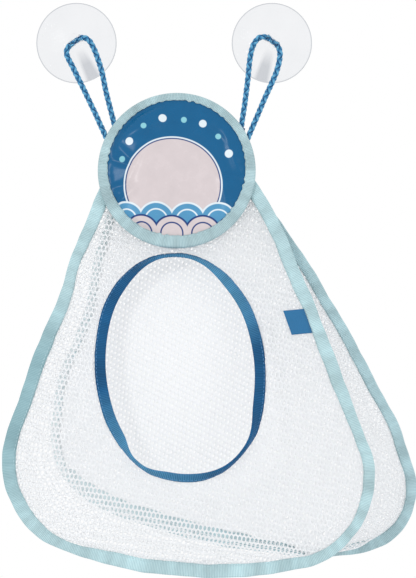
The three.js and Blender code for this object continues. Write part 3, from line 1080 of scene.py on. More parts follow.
@dataclass(frozen=True)
class Crease:
    """A long low fold in a cloth: its middle, heading in degrees, half length, half width and height."""

    x: float
    rise: float
    heading: float
    length: float
    width: float
    height: float

    def at(self, flat: Array) -> Array:
        """How far the fold stands forward at flat places.

        Args:
            flat: Flat places.

        Returns:
            Forward offsets.
        """
        turn = math.radians(self.heading)
        dx, dy = flat[..., 0] - self.x, flat[..., 1] - self.rise
        along = (dx * math.cos(turn) + dy * math.sin(turn)) / self.length
        aside = (dy * math.cos(turn) - dx * math.sin(turn)) / self.width
        return self.height * np.exp(-aside ** 2) * np.exp(-along ** 4)


@dataclass(frozen=True)
class Hang:
    """A plane that cloth is sewn in: its origin, and its lean in degrees, negative into the room."""

    origin: Triple
    lean: float

    def place(self, flat: Array, forward: Array | float = 0.0) -> Array:
        """Points in the shared frame of flat places that stand forward of the plane.

        Args:
            flat: Flat places.
            forward: How far each stands forward.

        Returns:
            The points.
        """
        turn = math.radians(self.lean)
        x, rise = flat[..., 0], flat[..., 1]
        depth = -np.broadcast_to(np.asarray(forward, float), x.shape)
        points = np.stack([x, depth * math.cos(turn) - rise * math.sin(turn),
                           depth * math.sin(turn) + rise * math.cos(turn)], -1)
        return points + np.array(self.origin)


BAG_LEAN = -7.5
BAG_HANG = Hang((0.0, -25.0, -110.0), BAG_LEAN)
TOP_SEAM = np.array([0.0, -2.3])
HEAD_HANG = Hang((2.5, -25.0, -110.0), BAG_LEAN)
FRONT_HANG = Hang(tuple(BAG_HANG.place(TOP_SEAM, -3.85)), BAG_LEAN)
BACK_HANG = Hang(tuple(BAG_HANG.place(TOP_SEAM, -7.15)), 2.5)


@dataclass(frozen=True)
class EdgeLine:
    """Points along a panel's edge, with the outward direction and the length so far at each."""

    points: Array
    outward: Array
    run: Array
    straight_ripple: float = 0.25

    def puckers(self) -> Array:
        """How far a tape's free edge ripples: little on straight runs, and more round the corners."""
        turn = np.linalg.norm(np.gradient(self.outward, self.run, axis=0), axis=1)
        return self.straight_ripple + (1 - self.straight_ripple) * smooth(turn * 100 - 0.4)


def circles_meet(first: Array, first_radius: float, second: Array, second_radius: float,
                 left: bool) -> Array:
    """Where two circles meet, left or right of the line from the first centre to the second.

    Args:
        first: Centre of the first circle.
        first_radius: Its radius.
        second: Centre of the second circle.
        second_radius: Its radius.
        left: Whether the left one of the two points is meant.

    Returns:
        The point.
    """
    distance = float(np.hypot(*(second - first)))
    way = (second - first) / distance
    along = (first_radius ** 2 - second_radius ** 2 + distance ** 2) / (2 * distance)
    aside = math.sqrt(first_radius ** 2 - along ** 2) * (1 if left else -1)
    return first + way * along + np.array([-way[1], way[0]]) * aside


@dataclass(frozen=True)
class PanelEdge:
    """Edge of a panel from top left, round the bottom, to top right, as five arcs that meet smoothly.

    The corners' arcs have a centre and a radius, and the sides and the bottom have a radius. A bulge has
    its side, rise, reach and size.
    """

    top_left: float
    top_right: float
    left: Pair
    right: Pair
    left_radius: float
    right_radius: float
    left_side: float
    right_side: float
    bottom: float
    bulges: tuple[tuple[Side, float, float, float], ...]
    unevenness: float = 0.55

    def line(self, steps: Sequence[int], trim: float = 0.0) -> EdgeLine:
        """Stations along the edge.

        Args:
            steps: Steps in each of the five arcs.
            trim: Length left off at the top of each side.

        Returns:
            The stations from the top left to the top right.
        """
        left, right = np.array(self.left), np.array(self.right)
        start, end = np.array([self.top_left, 0.0]), np.array([self.top_right, 0.0])
        near = circles_meet(start, self.left_side, left, self.left_side - self.left_radius, True)
        far = circles_meet(end, self.right_side, right, self.right_side - self.right_radius, False)
        low = circles_meet(left, self.bottom - self.left_radius,
                           right, self.bottom - self.right_radius, True)
        spans = ((near, start), (near, left), (low, left), (low, right), (far, right), (far, end))
        raw = np.array([math.atan2(*(b - a)[::-1]) for a, b in spans])
        turns = raw[0] + np.concatenate([[0.0], np.cumsum(np.diff(raw) % FULL_TURN)])
        radii = (self.left_side, self.left_radius, self.bottom, self.right_radius, self.right_side)
        firsts, lasts = turns[:-1].copy(), turns[1:].copy()
        firsts[0] += trim / self.left_side
        lasts[-1] -= trim / self.right_side
        arcs = [np.linspace(first, last, count + 1)[1:] for first, last, count in zip(firsts, lasts, steps)]
        arcs[0] = np.concatenate([firsts[:1], arcs[0]])
        outward = heading(np.concatenate(arcs))
        centres = zip((near, left, low, right, far), radii, arcs)
        points = np.vstack([centre + heading(arc) * radius for centre, radius, arc in centres])
        for side, rise, reach, size in self.bulges:
            share = bell(points[:, 1], rise, reach) * smooth((outward[:, 0] * side.sign - 0.2) / 0.3)
            points = points + outward * (size * share)[:, None]
        run = run_along(points)
        return EdgeLine(points + outward * (self.unevenness * drift(run, 70, 0.6))[:, None], outward, run)


FRONT_EDGE = PanelEdge(
    -58.0, 61.0, (-64.7, -243.5), (89.3, -255.5), 77.9, 78.3, 3100.0, 1360.0, 363.0,
    ((Side.RIGHT, -40.0, 45.0, 5.6), (Side.RIGHT, -115.0, 20.0, 1.2), (Side.RIGHT, -190.0, 35.0, -1.3),
     (Side.LEFT, -108.0, 25.0, -2.2)))
BACK_EDGE = PanelEdge(
    -48.0, 61.0, (-39.1, -223.7), (150.2, -267.4), 64.9, 56.6, 5000.0, 1020.0, 470.0,
    ((Side.LEFT, -178.0, 30.0, 5.0), (Side.LEFT, -115.0, 28.0, -3.0), (Side.RIGHT, -209.0, 25.0, 2.3)))
TAPE_STEPS = (120, 60, 110, 60, 130)


@dataclass(frozen=True)
class FoldedTape:
    """Tape folded over an edge: the width that shows, its half thickness and the half gap for the cloth."""

    width: float
    half: float = 1.15
    gap: float = 0.5
    lap_length: float = 13.0
    lap_height: float = 0.7
    lap_edge: float = 0.8
    width_drift: float = 0.035
    ripple_reach: float = 0.22
    dimple: float = 0.1

    def profile(self) -> Array:
        """Closed section as rows of (distance from the fold, forward).

        Returns:
            The rows in order.
        """
        w, h, g = self.width, self.half, self.gap
        turn = np.linspace(0, math.pi, 7)
        fold = np.stack([h - h * np.sin(turn), h * np.cos(turn)], -1)
        legs = np.linspace(1.0, h / w, 6)[:-1] * w
        outer = [np.stack([legs, np.full(5, h)], -1), fold, np.stack([legs[::-1], np.full(5, -h)], -1)]
        leg = np.array([[w, g], [w * 0.55, g], [h + 0.2, g]])
        return np.vstack([*outer, leg * (1, -1), [[h - g * 0.6, 0.0]], leg[::-1]])

    def build(self, name: str, run: Array, carry: Carry, finish: Finish, seed: int, loop: bool = False,
              joins: Sequence[float] = (), waves: Array | float = 0.25,
              widths: Array | float = 1.0) -> Object:
        """Sweeps the tape along its edge.

        Args:
            name: The piece's name.
            run: Length along the edge at each station, and the whole length last where it is a loop.
            carry: Gives points for station numbers, distances from the fold and forward offsets.
            finish: The tape's finish.
            seed: Picks the unevenness.
            loop: Whether the tape closes on itself.
            joins: Lengths along the edge where one end of the tape laps over the other.
            waves: How far the free edge ripples, at each station.
            widths: Share of the full width at each station.

        Returns:
            The tape.
        """
        rows = len(run) - (1 if loop else 0)
        section = self.profile()
        out, level = section.T[:, None]
        at = run[:rows, None]
        width = (widths * (1 + self.width_drift * drift(run[:rows], seed)))[:, None]
        away = out * np.where(out > self.half * 1.2, width, 1.0)
        edge = np.clip(away / self.width, 0, 1) ** 2
        ripple = (waves * drift(run[:rows], seed + 1, self.ripple_reach))[:, None]
        forward = level + (ripple + self.dimple * np.sin(FULL_TURN * at / STITCH_PITCH)) * edge
        for join in joins:
            end = join + self.lap_length
            lap = smooth((at - join) / self.lap_edge) * smooth((end - at) / self.lap_edge)
            forward = forward + np.sign(level) * self.lap_height * lap * (np.abs(level) > self.gap)
        station = np.broadcast_to(np.arange(rows)[:, None], away.shape)
        points, faces, uv = swept(carry(station, away, forward), run, section[:, 0], loop)
        return piece(name, points, faces, finish, uv)

    def seams(self, carry: Carry, widths: Array, inset: float, lift: float,
              loop: bool = False) -> list[Array]:
        """Seam lines near the free edges, one on each face.

        Args:
            carry: Gives points for station numbers, distances from the fold and forward offsets.
            widths: Share of the full width at each station.
            inset: Distance of the seams from the free edges.
            lift: Distance of the seams from the tape's middle.
            loop: Whether the tape closes on itself.

        Returns:
            Points of the two lines.
        """
        rows, away = np.arange(len(widths)), self.width * widths - inset
        lines = [carry(rows, away, np.full(len(rows), side)) for side in (lift, -lift)]
        return [closed(line) for line in lines] if loop else lines


def cross_seam(carry: Carry, station: int, first: float, last: float, lift: float) -> Array:
    """Seam across a tape at one of its stations, where it is joined."""
    return carry(np.full(9, station), np.linspace(first, last, 9), np.full(9, lift))


@dataclass(frozen=True)
class NetPattern:
    """Knitted net: cells taller than wide, in rows that are offset by half and lean by some degrees."""

    hole: float
    thickness: float
    lean: float = 8.0
    across: float = 3.5
    row: float = 4.5
    weld: float = 0.15

    def cells(self, low: Array, high: Array, keep: Callable[[Array], Array]) -> tuple[Array, Array]:
        """Corners and faces of the cells whose centres are kept.

        Args:
            low: Lowest flat corner of the area.
            high: Highest flat corner.
            keep: Tells which centres are on the cloth.

        Returns:
            Flat corners, and six corner numbers for each cell.
        """
        middle = (low + high) / 2
        reach = float(np.hypot(*(high - low))) / 2 + 10
        counts = int(reach / self.row), int(reach / self.across)
        rows, columns = [np.arange(-count, count + 1) for count in counts]
        column, row = np.meshgrid(columns, rows)
        centres = np.stack([(column + 0.5 * (row % 2)) * self.across, row * self.row], -1).reshape(-1, 2)
        wide, tall = self.across / 2, self.row / 1.5
        half = np.array([[0, tall], [-wide, tall / 2], [-wide, -tall / 2]])
        kept = keep(centres @ spin(self.lean) + middle)
        points = (centres[kept][:, None, :] + np.vstack([half, -half])).reshape(-1, 2)
        keys, number = np.unique(np.round(points, 3), axis=0, return_inverse=True)
        return keys @ spin(self.lean) + middle, number.reshape(-1, 6)

    def build(self, name: str, points: Array, faces: Array) -> Object:
        """Net grown from cells that are in their place.

        Args:
            name: The piece's name.
            points: Corners of the cells.
            faces: Six corner numbers for each cell.

        Returns:
            The net.
        """
        base = bpy.data.meshes.new("cells")
        base.from_pydata((points * MM).tolist(), [], faces.tolist())
        made = grown(name, base, net_tree(), Hole_share=self.hole, Thickness=self.thickness * MM,
                     Weld=self.weld * MM, Finish=NET.material())
        turn_outward(made.data)
        return made


@dataclass(frozen=True)
class TurnedTape:
    """Tape that is turned out of its panel in places, with the net that follows it.

    Line is the tape's fold, and way points from it into the net. At each station the tape is turned by
    radians, its sewn edge stands forward by the rise, and pulls tells whether the net follows. At the reach
    the net is flat again. The fold swings about the sewn edge, or else the sewn edge about the fold.
    """

    line: Array
    way: Array
    turn: Array
    rise: Array
    pulls: Array
    width: float
    reach: float
    fold_swings: bool

    def section(self, station: Array, away: Array) -> tuple[Array, Array]:
        """Distances along the panel and forward, for flat distances from the fold at stations.

        Args:
            station: Station numbers.
            away: Flat distances from the fold.

        Returns:
            Distances along the panel, and forward.
        """
        turn, beyond = self.turn[station], np.maximum(away - self.width, 0)
        on_tape = np.minimum(away, self.width)
        settle = smooth((away - self.width) / (self.reach - self.width))
        if self.fold_swings:
            along = np.maximum(away, self.width) - (self.width - on_tape) * np.cos(turn)
        else:
            along = on_tape * np.cos(turn) + beyond + self.width * (1 - np.cos(turn)) * settle
        return along, self.rise[station] * (1 - settle) + (self.width - on_tape) * np.sin(turn)

    def pulled(self, flat: Array) -> tuple[Array, Array]:
        """Where flat places of the net are drawn to, and how far they are lifted.

        Args:
            flat: Flat places.

        Returns:
            New flat places, and lifts.
        """
        places = flat.reshape(-1, 2)
        gaps = ((places[:, None, :] - self.line[None, :, :]) ** 2).sum(-1)
        station = gaps.argmin(1)
        away = np.sqrt(gaps[np.arange(len(places)), station])
        near = (away < self.reach) & self.pulls[station]
        along, lift = self.section(station, away)
        drawn = self.line[station] + self.way[station] * along[:, None]
        moved = np.where(near[:, None], drawn, places).reshape(flat.shape)
        return moved, np.where(near, lift, 0.0).reshape(flat.shape[:-1])

    def laid(self, station: Array, away: Array, forward: Array) -> tuple[Array, Array]:
        """Flat places on the tape, and how far they stand forward.

        Args:
            station: Station numbers.
            away: Flat distances from the fold.
            forward: Forward offsets from the tape's middle.

        Returns:
            Flat places, and forward offsets.
        """
        along, lift = self.section(station, away)
        turn = self.turn[station]
        flat = self.line[station] + self.way[station] * (along + np.sin(turn) * forward)[..., None]
        return flat, lift + np.cos(turn) * forward


@dataclass
class Panel:
    """Net panel with a tape folded over its sides and bottom, and a hem on its top edge.

    Facing is one for the front and minus one for the back. A wave has its size, and its lengths across
    and up. The net comes loose below a drop, over a length, and its belly is deepest half way down.
    """

    outline: PanelEdge
    hang: Hang
    body: Body
    facing: float
    tape: FoldedTape
    net: NetPattern
    creases: tuple[Crease, ...]
    waves: tuple[Triple, ...]
    loose_from: float
    settle: float
    loose_over: float = 80.0
    belly: float = 0.0
    belly_drop: float = 334.0
    belly_width: float = 120.0
    inward: float = 0.5
    net_inset: float = 3.0
    seam_inset: float = 1.5
    seam_lift: float = 1.2
    hem_tape: FoldedTape = FoldedTape(7.0, 0.8, 0.4)
    hem_trim: float = 1.5
    hem_over: float = 0.5

    def __post_init__(self) -> None:
        """Lays out the edge and its tape, which the net follows."""
        self.edge = self.outline.line(TAPE_STEPS)
        turn = self.edge_turn()
        rise = -self.tape.width * np.sin(turn)
        self.rim = TurnedTape(self.edge.points, -self.edge.outward, turn, rise, turn < -0.01,
                              self.tape.width, self.settle, False)
        self.lead = self.rim

    def edge_turn(self) -> Array:
        """How far the edge tape is turned at each station, in radians."""
        return np.zeros(len(self.edge.run))

    def relief(self, flat: Array) -> Array:
        """How far the net stands forward of its plane, and hardly into the bag.

        Args:
            flat: Flat places.

        Returns:
            Forward offsets.
        """
        x, rise = flat[..., 0], flat[..., 1]
        loose = smooth((-rise - self.loose_from) / self.loose_over)
        folds = sum(crease.at(flat) for crease in self.creases)
        hanging = np.sin(np.clip(-rise / self.belly_drop, 0, 1) * math.pi)
        belly = self.belly * hanging * np.cos(x / self.belly_width)
        wave = sum(size * np.sin(x / across + rise / up) for size, across, up in self.waves)
        return self.facing * loose * held_over(self.facing * (folds + belly + wave), -self.inward)

    def carry(self, flat: Array, forward: Array | float = 0.0) -> Array:
        """Points in the shared frame of flat places on the panel."""
        moved, lift = self.lead.pulled(flat)
        return self.hang.place(moved, self.relief(moved) + lift + forward)

    def carry_on(self, tape: TurnedTape) -> Carry:
        """Gives points on a tape of the panel.

        Args:
            tape: The edge's or the opening's tape.

        Returns:
            Function from stations, distances and offsets to points.
        """
        def carry(station: Array, away: Array, forward: Array) -> Array:
            """Points in the shared frame."""
            flat, lift = tape.laid(station, away, forward)
            return self.hang.place(flat, self.relief(flat) + lift)

        return carry

    def on_net(self, flat: Array) -> Array:
        """Which flat places are net that the tapes hold."""
        return inside(flat, self.edge.points - self.edge.outward * self.net_inset)

    def flat_size(self) -> Pair:
        """Width and height of the flat panel, in metres."""
        return tuple((self.edge.points.max(0) - self.edge.points.min(0)) * MM)

    def knit(self, name: str, node: str) -> Object:
        """Makes the net, in place of a node of the part.

        Args:
            name: The piece's name.
            node: Node that it replaces.

        Returns:
            The net.
        """
        points = self.edge.points
        flat, faces = self.net.cells(points.min(0), points.max(0), self.on_net)
        return placed(self.net.build(name, self.carry(flat), faces), self.body, node)

    def bind(self, name: str, node: str, finish: Finish, seed: int, widths: Array,
             joins: Sequence[float] = ()) -> Object:
        """Makes the edge tape, in place of a node of the part.

        Args:
            name: The piece's name.
            node: Node that it replaces.
            finish: The tape's finish.
            seed: Picks the unevenness.
            widths: Share of the full width at each station.
            joins: Lengths along the edge where one end laps over the other.

        Returns:
            The tape.
        """
        tape = self.tape.build(name, self.edge.run, self.carry_on(self.rim), finish, seed, joins=joins,
                               waves=self.edge.puckers(), widths=widths)
        return placed(tape, self.body, node)

    def edge_seams(self, widths: Array) -> list[Array]:
        """Seam lines along the edge tape."""
        return self.tape.seams(self.carry_on(self.rim), widths, self.seam_inset, self.seam_lift)

    def hem(self, name: str) -> Object:
        """Makes the white tape folded over the straight top edge.

        Args:
            name: The piece's name.

        Returns:
            The hem.
        """
        first, last = self.outline.top_left + self.hem_trim, self.outline.top_right - self.hem_trim
        along = np.linspace(first, last, 61)

        def lay(station: Array, away: Array, forward: Array) -> Array:
            """Points on the tape."""
            return self.carry(np.stack([along[station], self.hem_over - away], -1), forward)

        tape = self.hem_tape.build(name, along - along[0], lay, LINING, 50)
        return placed(tape, self.body)


@dataclass
class FrontPanel(Panel):
    """Front net with its edge tape, its hand opening and the opening's dark tape.

    Swells widen the opening about a bearing, and narrows thin the edge tape about a length along it, each
    with a reach and an amount. Turns give the bearing, reach, degrees and rise where the opening's tape is
    turned out, and the lip's narrow the bearing, reach and share where it is thinner.
    """

    outline: PanelEdge = FRONT_EDGE
    hang: Hang = FRONT_HANG
    body: Body = Body.FRONT
    facing: float = 1.0
    tape: FoldedTape = FoldedTape(11.2)
    net: NetPattern = NetPattern(0.67, 0.36)
    creases: tuple[Crease, ...] = (
        Crease(-86, -225, 42, 34, 5, 2.6), Crease(-70, -236, 38, 30, 4, -2.2),
        Crease(-100, -205, 50, 30, 6, 2.0), Crease(20, -290, 52, 34, 6, 2.6),
        Crease(44, -282, 48, 38, 6, -2.4), Crease(70, -262, 55, 40, 7, 3.0),
        Crease(92, -240, 60, 34, 6, -2.2), Crease(88, -120, 72, 46, 7, 1.6),
        Crease(-88, -130, 68, 50, 7, 1.8), Crease(118, -318, 8, 44, 24, 3.8))
    waves: tuple[Triple, ...] = ((0.8, 19, 31), (0.6, 11, -23))
    loose_from: float = 70.0
    settle: float = 34.0
    belly: float = 3.0
    join: float = 262.0
    join_seam: Triple = (1.2, 10.0, 1.3)
    lip: FoldedTape = FoldedTape(8.3)
    lip_join: float = 18.0
    lip_share: float = 1.12
    lip_narrow: Triple = (268, 36, 0.28)
    lip_inset: float = 1.4
    opening_inset: float = 4.0
    half_width: float = 62.0
    half_height: float = 87.0
    centre: Pair = (5.6, -165.4)
    tilt: float = 6.0
    swells: tuple[Triple, ...] = (
        (128, 22, 2.0), (52, 24, 1.6), (265, 30, 1.0), (315, 20, 1.2), (225, 18, 0.8))
    narrows: tuple[Triple, ...] = (
        (82, 26, 0.2), (355, 24, 0.27), (600, 55, 0.27), (702, 38, 0.19))
    turns: tuple[tuple[float, float, float, float], ...] = (
        (92, 28, 82, 1.5), (248, 15, 82, 1.3), (303, 26, 84, 1.5))

    def __post_init__(self) -> None:
        """Lays out the edge and the opening's fold."""
        super().__post_init__()
        circled = heading(circle(360))
        half = np.array([self.half_width, self.half_height])
        oval = (circled * half) @ spin(-self.tilt)
        way = unit(circled / half) @ spin(-self.tilt)
        self.bearing = np.degrees(np.arctan2(oval[:, 1], oval[:, 0])) % 360
        wide = sum(size * bell(self.off(middle), 0, reach) for middle, reach, size in self.swells)
        fold = oval + np.array(self.centre) + way * wide[:, None]
        turned = [(bell(self.off(middle), 0, reach, 2.6), degrees, height)
                  for middle, reach, degrees, height in self.turns]
        self.lead = TurnedTape(
            fold, way, sum(math.radians(degrees) * share for share, degrees, _ in turned),
            sum(height * share for share, _, height in turned), np.full(len(fold), True),
            self.lip.width, self.settle, True)
        middle, reach, share = self.lip_narrow
        self.lip_widths = self.lip_share - share * bell(self.off(middle), 0, reach)

    def off(self, middle: float) -> Array:
        """Degrees round the opening from a bearing."""
        return (self.bearing - middle + 180) % 360 - 180

    def on_net(self, flat: Array) -> Array:
        """Which flat places are net that the tapes hold."""
        return super().on_net(flat) & ~inside(flat, self.lead.line + self.lead.way * self.opening_inset)

    def build(self) -> None:
        """Makes the net, its tapes and its stitches."""
        net = self.knit("front_net", "front_panel")
        run, fold = self.edge.run, self.lead.line
        widths = 1 - sum(share * bell(run, middle, reach) for middle, reach, share in self.narrows)
        edge = self.bind("front_edge_tape", "front_binding", FRONT_TAPE, 3, widths, (self.join,))
        on_lip = self.carry_on(self.lead)
        lip = self.lip.build("opening_tape", run_along(closed(fold)), on_lip, DARK_TAPE, 8, loop=True,
                             joins=(self.lip_join,), widths=self.lip_widths)
        placed(lip, self.body, "opening_binding")
        joined = int(np.searchsorted(run, self.join))
        across = cross_seam(self.carry_on(self.rim), joined, *self.join_seam)
        seams = [*self.edge_seams(widths), across]
        thread = stitched("front_edge_stitches", seams, LIGHT_THREAD, self.body)
        seams = self.lip.seams(on_lip, self.lip_widths, self.lip_inset, self.seam_lift, loop=True)
        dark = stitched("opening_stitches", seams, BLUE_THREAD, self.body)
        hem = self.hem("front_top_hem")
        area = (polygon_area(self.edge.points) - polygon_area(fold)) * MM ** 2
        self.flat_size()


@dataclass
class BackPanel(Panel):
    """Back net with its edge tape, whose lower right run is turned edge-on."""

    outline: PanelEdge = BACK_EDGE
    hang: Hang = BACK_HANG
    body: Body = Body.BACK
    facing: float = -1.0
    tape: FoldedTape = FoldedTape(10.0)
    net: NetPattern = NetPattern(0.36, 0.4, 27.0)
    creases: tuple[Crease, ...] = (
        Crease(60, -250, 30, 60, 9, 1.6), Crease(-30, -200, 64, 50, 8, -1.5),
        Crease(130, -200, 70, 60, 8, 1.8))
    waves: tuple[Triple, ...] = ((0.7, 23, 37), (0.5, 13, -29))
    loose_from: float = 80.0
    settle: float = 30.0
    turned_at: float = 122.0
    turned_reach: float = 24.0
    turned_degrees: float = 80.0
    spread: float = 0.45
    spread_until: float = 80.0
    spread_fade: float = 30.0
    left_narrow: float = 0.27
    right_narrow: float = 0.1

    def edge_turn(self) -> Array:
        """How far the edge tape is turned at each station, in radians.

        Returns:
            One turn for each station.
        """
        low = self.edge.outward[:, 1] < -0.5
        share = bell(self.edge.points[:, 0], self.turned_at, self.turned_reach, 3) * low
        return -math.radians(self.turned_degrees) * share

    def build(self) -> None:
        """Makes the net, its tape and its stitches."""
        net = self.knit("back_net", "back_panel")
        points = self.edge.points
        aside, up = self.edge.outward.T
        low = smooth((-up - 0.4) / 0.15) * smooth((self.spread_until - points[:, 0]) / self.spread_fade)
        left, right = [smooth((sign * aside - 0.6) / 0.3) for sign in (-1, 1)]
        widths = 1 + self.spread * low - (self.left_narrow * left + self.right_narrow * right)
        edge = self.bind("back_edge_tape", "back_binding", BACK_TAPE, 21, widths)
        seams = self.edge_seams(widths)
        thread = stitched("back_edge_stitches", seams, LIGHT_THREAD, self.body)
        hem = self.hem("back_top_hem")
        self.flat_size()
        polygon_area(points) * MM ** 2


@dataclass
class Gusset:
    """Net strip between the two panels' tapes, round the sides and the bottom."""

    front: FrontPanel
    back: BackPanel
    inset: float = 9.2
    seat: float = 1.5
    start: float = 16.0
    slack: float = 0.09
    taut_at: float = 524.0
    taut_reach: float = 30.0
    taut_share: float = 0.62
    ripple: float = 0.05
    flutter: float = 0.035
    flutter_turns: float = 9.0
    flutter_length: float = 26.0
    end_clear: float = 1.0
    side_clear: float = 0.6
    net: NetPattern = NetPattern(0.74, 0.36, 2.0)

    def __post_init__(self) -> None:
        """Lays out the two long edges and the strip's width along them."""
        panels = (self.front, self.back)
        edges = [panel.outline.line(TAPE_STEPS, self.start) for panel in panels]
        self.ahead, self.behind = [
            panel.hang.place(edge.points - edge.outward * self.inset,
                             panel.relief(edge.points) - panel.facing * self.seat)
            for panel, edge in zip(panels, edges)]
        self.outward = (edges[0].outward + edges[1].outward) / 2
        self.run = run_along((self.ahead + self.behind) / 2)
        self.width = np.linalg.norm(self.ahead - self.behind, axis=1) * (1 + self.slack / 2)

    def carry(self, flat: Array) -> Array:
        """Points in the shared frame of places (along, across) on the flat strip.

        Args:
            flat: Places along and across.

        Returns:
            The points.
        """
        along = np.clip(flat[:, 0], 0, self.run[-1])
        lines = (self.ahead, self.behind, self.outward)
        ahead, behind, way = [along_line(along, self.run, line) for line in lines]
        width = np.interp(along, self.run, self.width)
        share = np.clip(flat[:, 1] / width + 0.5, 0, 1)
        taut = bell(along, self.taut_at, self.taut_reach)
        swell = np.sin(math.pi * share) * width * (1 - self.taut_share * taut)
        ripple = self.ripple * drift(along, 40, 0.5)
        flutter = self.flutter * np.sin(share * self.flutter_turns + along / self.flutter_length)
        fold = swell * (self.slack + ripple) + swell * flutter
        outward = np.stack([way[:, 0], np.zeros(len(way)), way[:, 1]], -1)
        return ahead + (behind - ahead) * share[:, None] + outward * fold[:, None]

    def on_strip(self, centres: Array) -> Array:
        """Which flat places are on the strip.

        Args:
            centres: Places along and across.

        Returns:
            True for each on the strip.
        """
        half = np.interp(centres[:, 0], self.run, self.width) / 2
        on = (centres[:, 0] > self.end_clear) & (centres[:, 0] < self.run[-1] - self.end_clear)
        return on & (np.abs(centres[:, 1]) < half - self.side_clear)

    def build(self) -> None:
        """Makes the net strip between the panels."""
        length, reach = self.run[-1], self.width.max() / 2
        flat, faces = self.net.cells(np.array([0.0, -reach]), np.array([length, reach]), self.on_strip)
        net = self.net.build("gusset_net", self.carry(flat), faces)
        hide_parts("gusset")
        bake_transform(net)
        self.follow(net)
        strip = float(((self.width[1:] + self.width[:-1]) / 2 * np.diff(self.run)).sum()) * MM ** 2

    def follow(self, net: Object) -> None:
        """Reads the strip's points about the back panel's hinge, and leaves them as they are.

        Args:
            net: The strip.
        """
        points = np.empty(len(net.data.vertices) * 3)
        net.data.vertices.foreach_get("co", points)
        _, y, z = (points.reshape(-1, 3) - np.round(self.back.hang.origin, 3) * MM).T


@dataclass
class Head:
    """Round head: printed front cloth, lining and folded tape."""

    radius: float = 66.7
    cloth: float = 0.6
    cloth_inset: float = 1.4
    cloth_middle: float = 0.55
    tape: FoldedTape = FoldedTape(8.6, 1.9, 1.2)
    rings: int = 44
    spokes: int = 144
    stations: int = 300
    ring_power: float = 0.85
    join: float = 261.0
    join_seam: Triple = (1.5, 9.5, 2.0)
    seam_inset: float = 1.5
    seam_lift: float = 1.95
    crown: float = 0.9
    crown_reach: float = 60.0
    puckers: int = 38
    pucker_height: float = 0.22
    pucker_at: float = 56.0
    pucker_reach: float = 4.0
    free_over: float = 5.0
    lining_slack: float = 0.35
    top_narrow: float = 0.23
    jag: float = 0.09
    jag_pitch: float = 7.3
    creases: tuple[Crease, ...] = (
        Crease(-30, 4, 88, 70, 20.0, 5.0), Crease(-34, 6, 66, 26, 3.0, -1.2),
        Crease(-46, 16, 132, 16, 3.0, 1.6), Crease(-44, -24, 38, 16, 3.0, 1.8),
        Crease(-49, -14, 12, 13, 2.4, -1.6), Crease(-49, 7, -16, 15, 2.4, -1.8),
        Crease(-28, 36, 28, 20, 5.0, 1.9), Crease(42, -26, 104, 22, 3.6, 1.6),
        Crease(47, 14, 110, 20, 3.4, 1.5), Crease(10, 45, 8, 26, 3.6, 1.2),
        Crease(-12, -18, 66, 44, 9.0, 1.4), Crease(22, 4, 118, 40, 8.0, -1.0),
        Crease(30, 34, 140, 18, 3.4, -1.2), Crease(49, -6, 172, 13, 2.4, -1.4))

    def disc(self, name: str, side: float, finish: Finish, creased: bool) -> Object:
        """Disc of cloth with a rounded crown and creases.

        Args:
            name: The piece's name.
            side: One for the front, which crowns forward, and minus one for the back.
            finish: Its finish.
            creased: Whether the creases show.

        Returns:
            The disc, closed.
        """
        shares = (np.arange(1, self.rings + 1) / self.rings) ** self.ring_power
        far = (self.radius - self.cloth_inset) * shares
        flat = (far[:, None, None] * heading(circle(self.spokes))).reshape(-1, 2)
        flat = np.vstack([[[0.0, 0.0]], flat])
        away = np.hypot(*flat.T)
        free = smooth((self.radius - self.tape.width - away) / self.free_over)
        crown = side * self.crown * np.clip(1 - (away / self.crown_reach) ** 2, 0, 1)
        round_head = np.sin(np.arctan2(flat[:, 1], flat[:, 0]) * self.puckers)
        pucker = self.pucker_height * round_head * bell(away, self.pucker_at, self.pucker_reach)
        if creased:
            folds = sum(crease.at(flat) for crease in self.creases)
        else:
            folds = self.lining_slack * drift(flat[:, 0] + flat[:, 1], 5)
        forward = side * self.cloth_middle + crown + free * folds + side * pucker
        points = np.vstack([HEAD_HANG.place(flat, forward + face * self.cloth / 2) for face in (1, -1)])
        count = len(flat)
        over = ring_faces(0, 1, self.rings, self.spokes)
        under = [[count + corner for corner in reversed(face)] for face in over]
        outer = list(range(count - self.spokes, count))
        rim = [[a, count + a, count + b, b] for a, b in zip(outer, outer[1:] + outer[:1])]
        faces = over + under + rim
        corners = np.concatenate([np.array(face) % count for face in faces])
        return piece(name, points, faces, finish, flat[corners] * MM)

    def carry(self, station: Array, away: Array, forward: Array) -> Array:
        """Points on the head's tape."""
        far = (self.radius - away)[..., None]
        return HEAD_HANG.place(far * heading(FULL_TURN * station / self.stations), forward)

    def build(self) -> None:
        """Makes the two cloths, the tape and its stitches."""
        front = self.disc("head_cloth", 1.0, HEAD_CLOTH, True)
        placed(front, Body.FRONT, "head_front")
        lining = self.disc("head_lining", -1.0, LINING, False)
        placed(lining, Body.FRONT, "head_back")
        run = np.linspace(0, FULL_TURN * self.radius, self.stations + 1)
        jag = self.jag * np.sin(FULL_TURN * run[:-1] / self.jag_pitch) * drift(run[:-1], 33, 0.5)
        widths = 1.0 - self.top_narrow * np.sin(circle(self.stations)) + jag
        tape = self.tape.build("head_tape", run, self.carry, LIGHT_TAPE, 30, loop=True,
                               joins=(run[-1] * self.join / 360,), waves=0.1, widths=widths)
        placed(tape, Body.FRONT, "head_binding")
        seams = self.tape.seams(self.carry, widths, self.seam_inset, self.seam_lift, loop=True)
        seams.append(cross_seam(self.carry, int(self.stations * self.join / 360), *self.join_seam))
        thread = stitched("head_stitches", seams, LIGHT_THREAD, Body.FRONT)
        for made, others in ((front, [tape, thread]), (lining, [])):
            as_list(others)


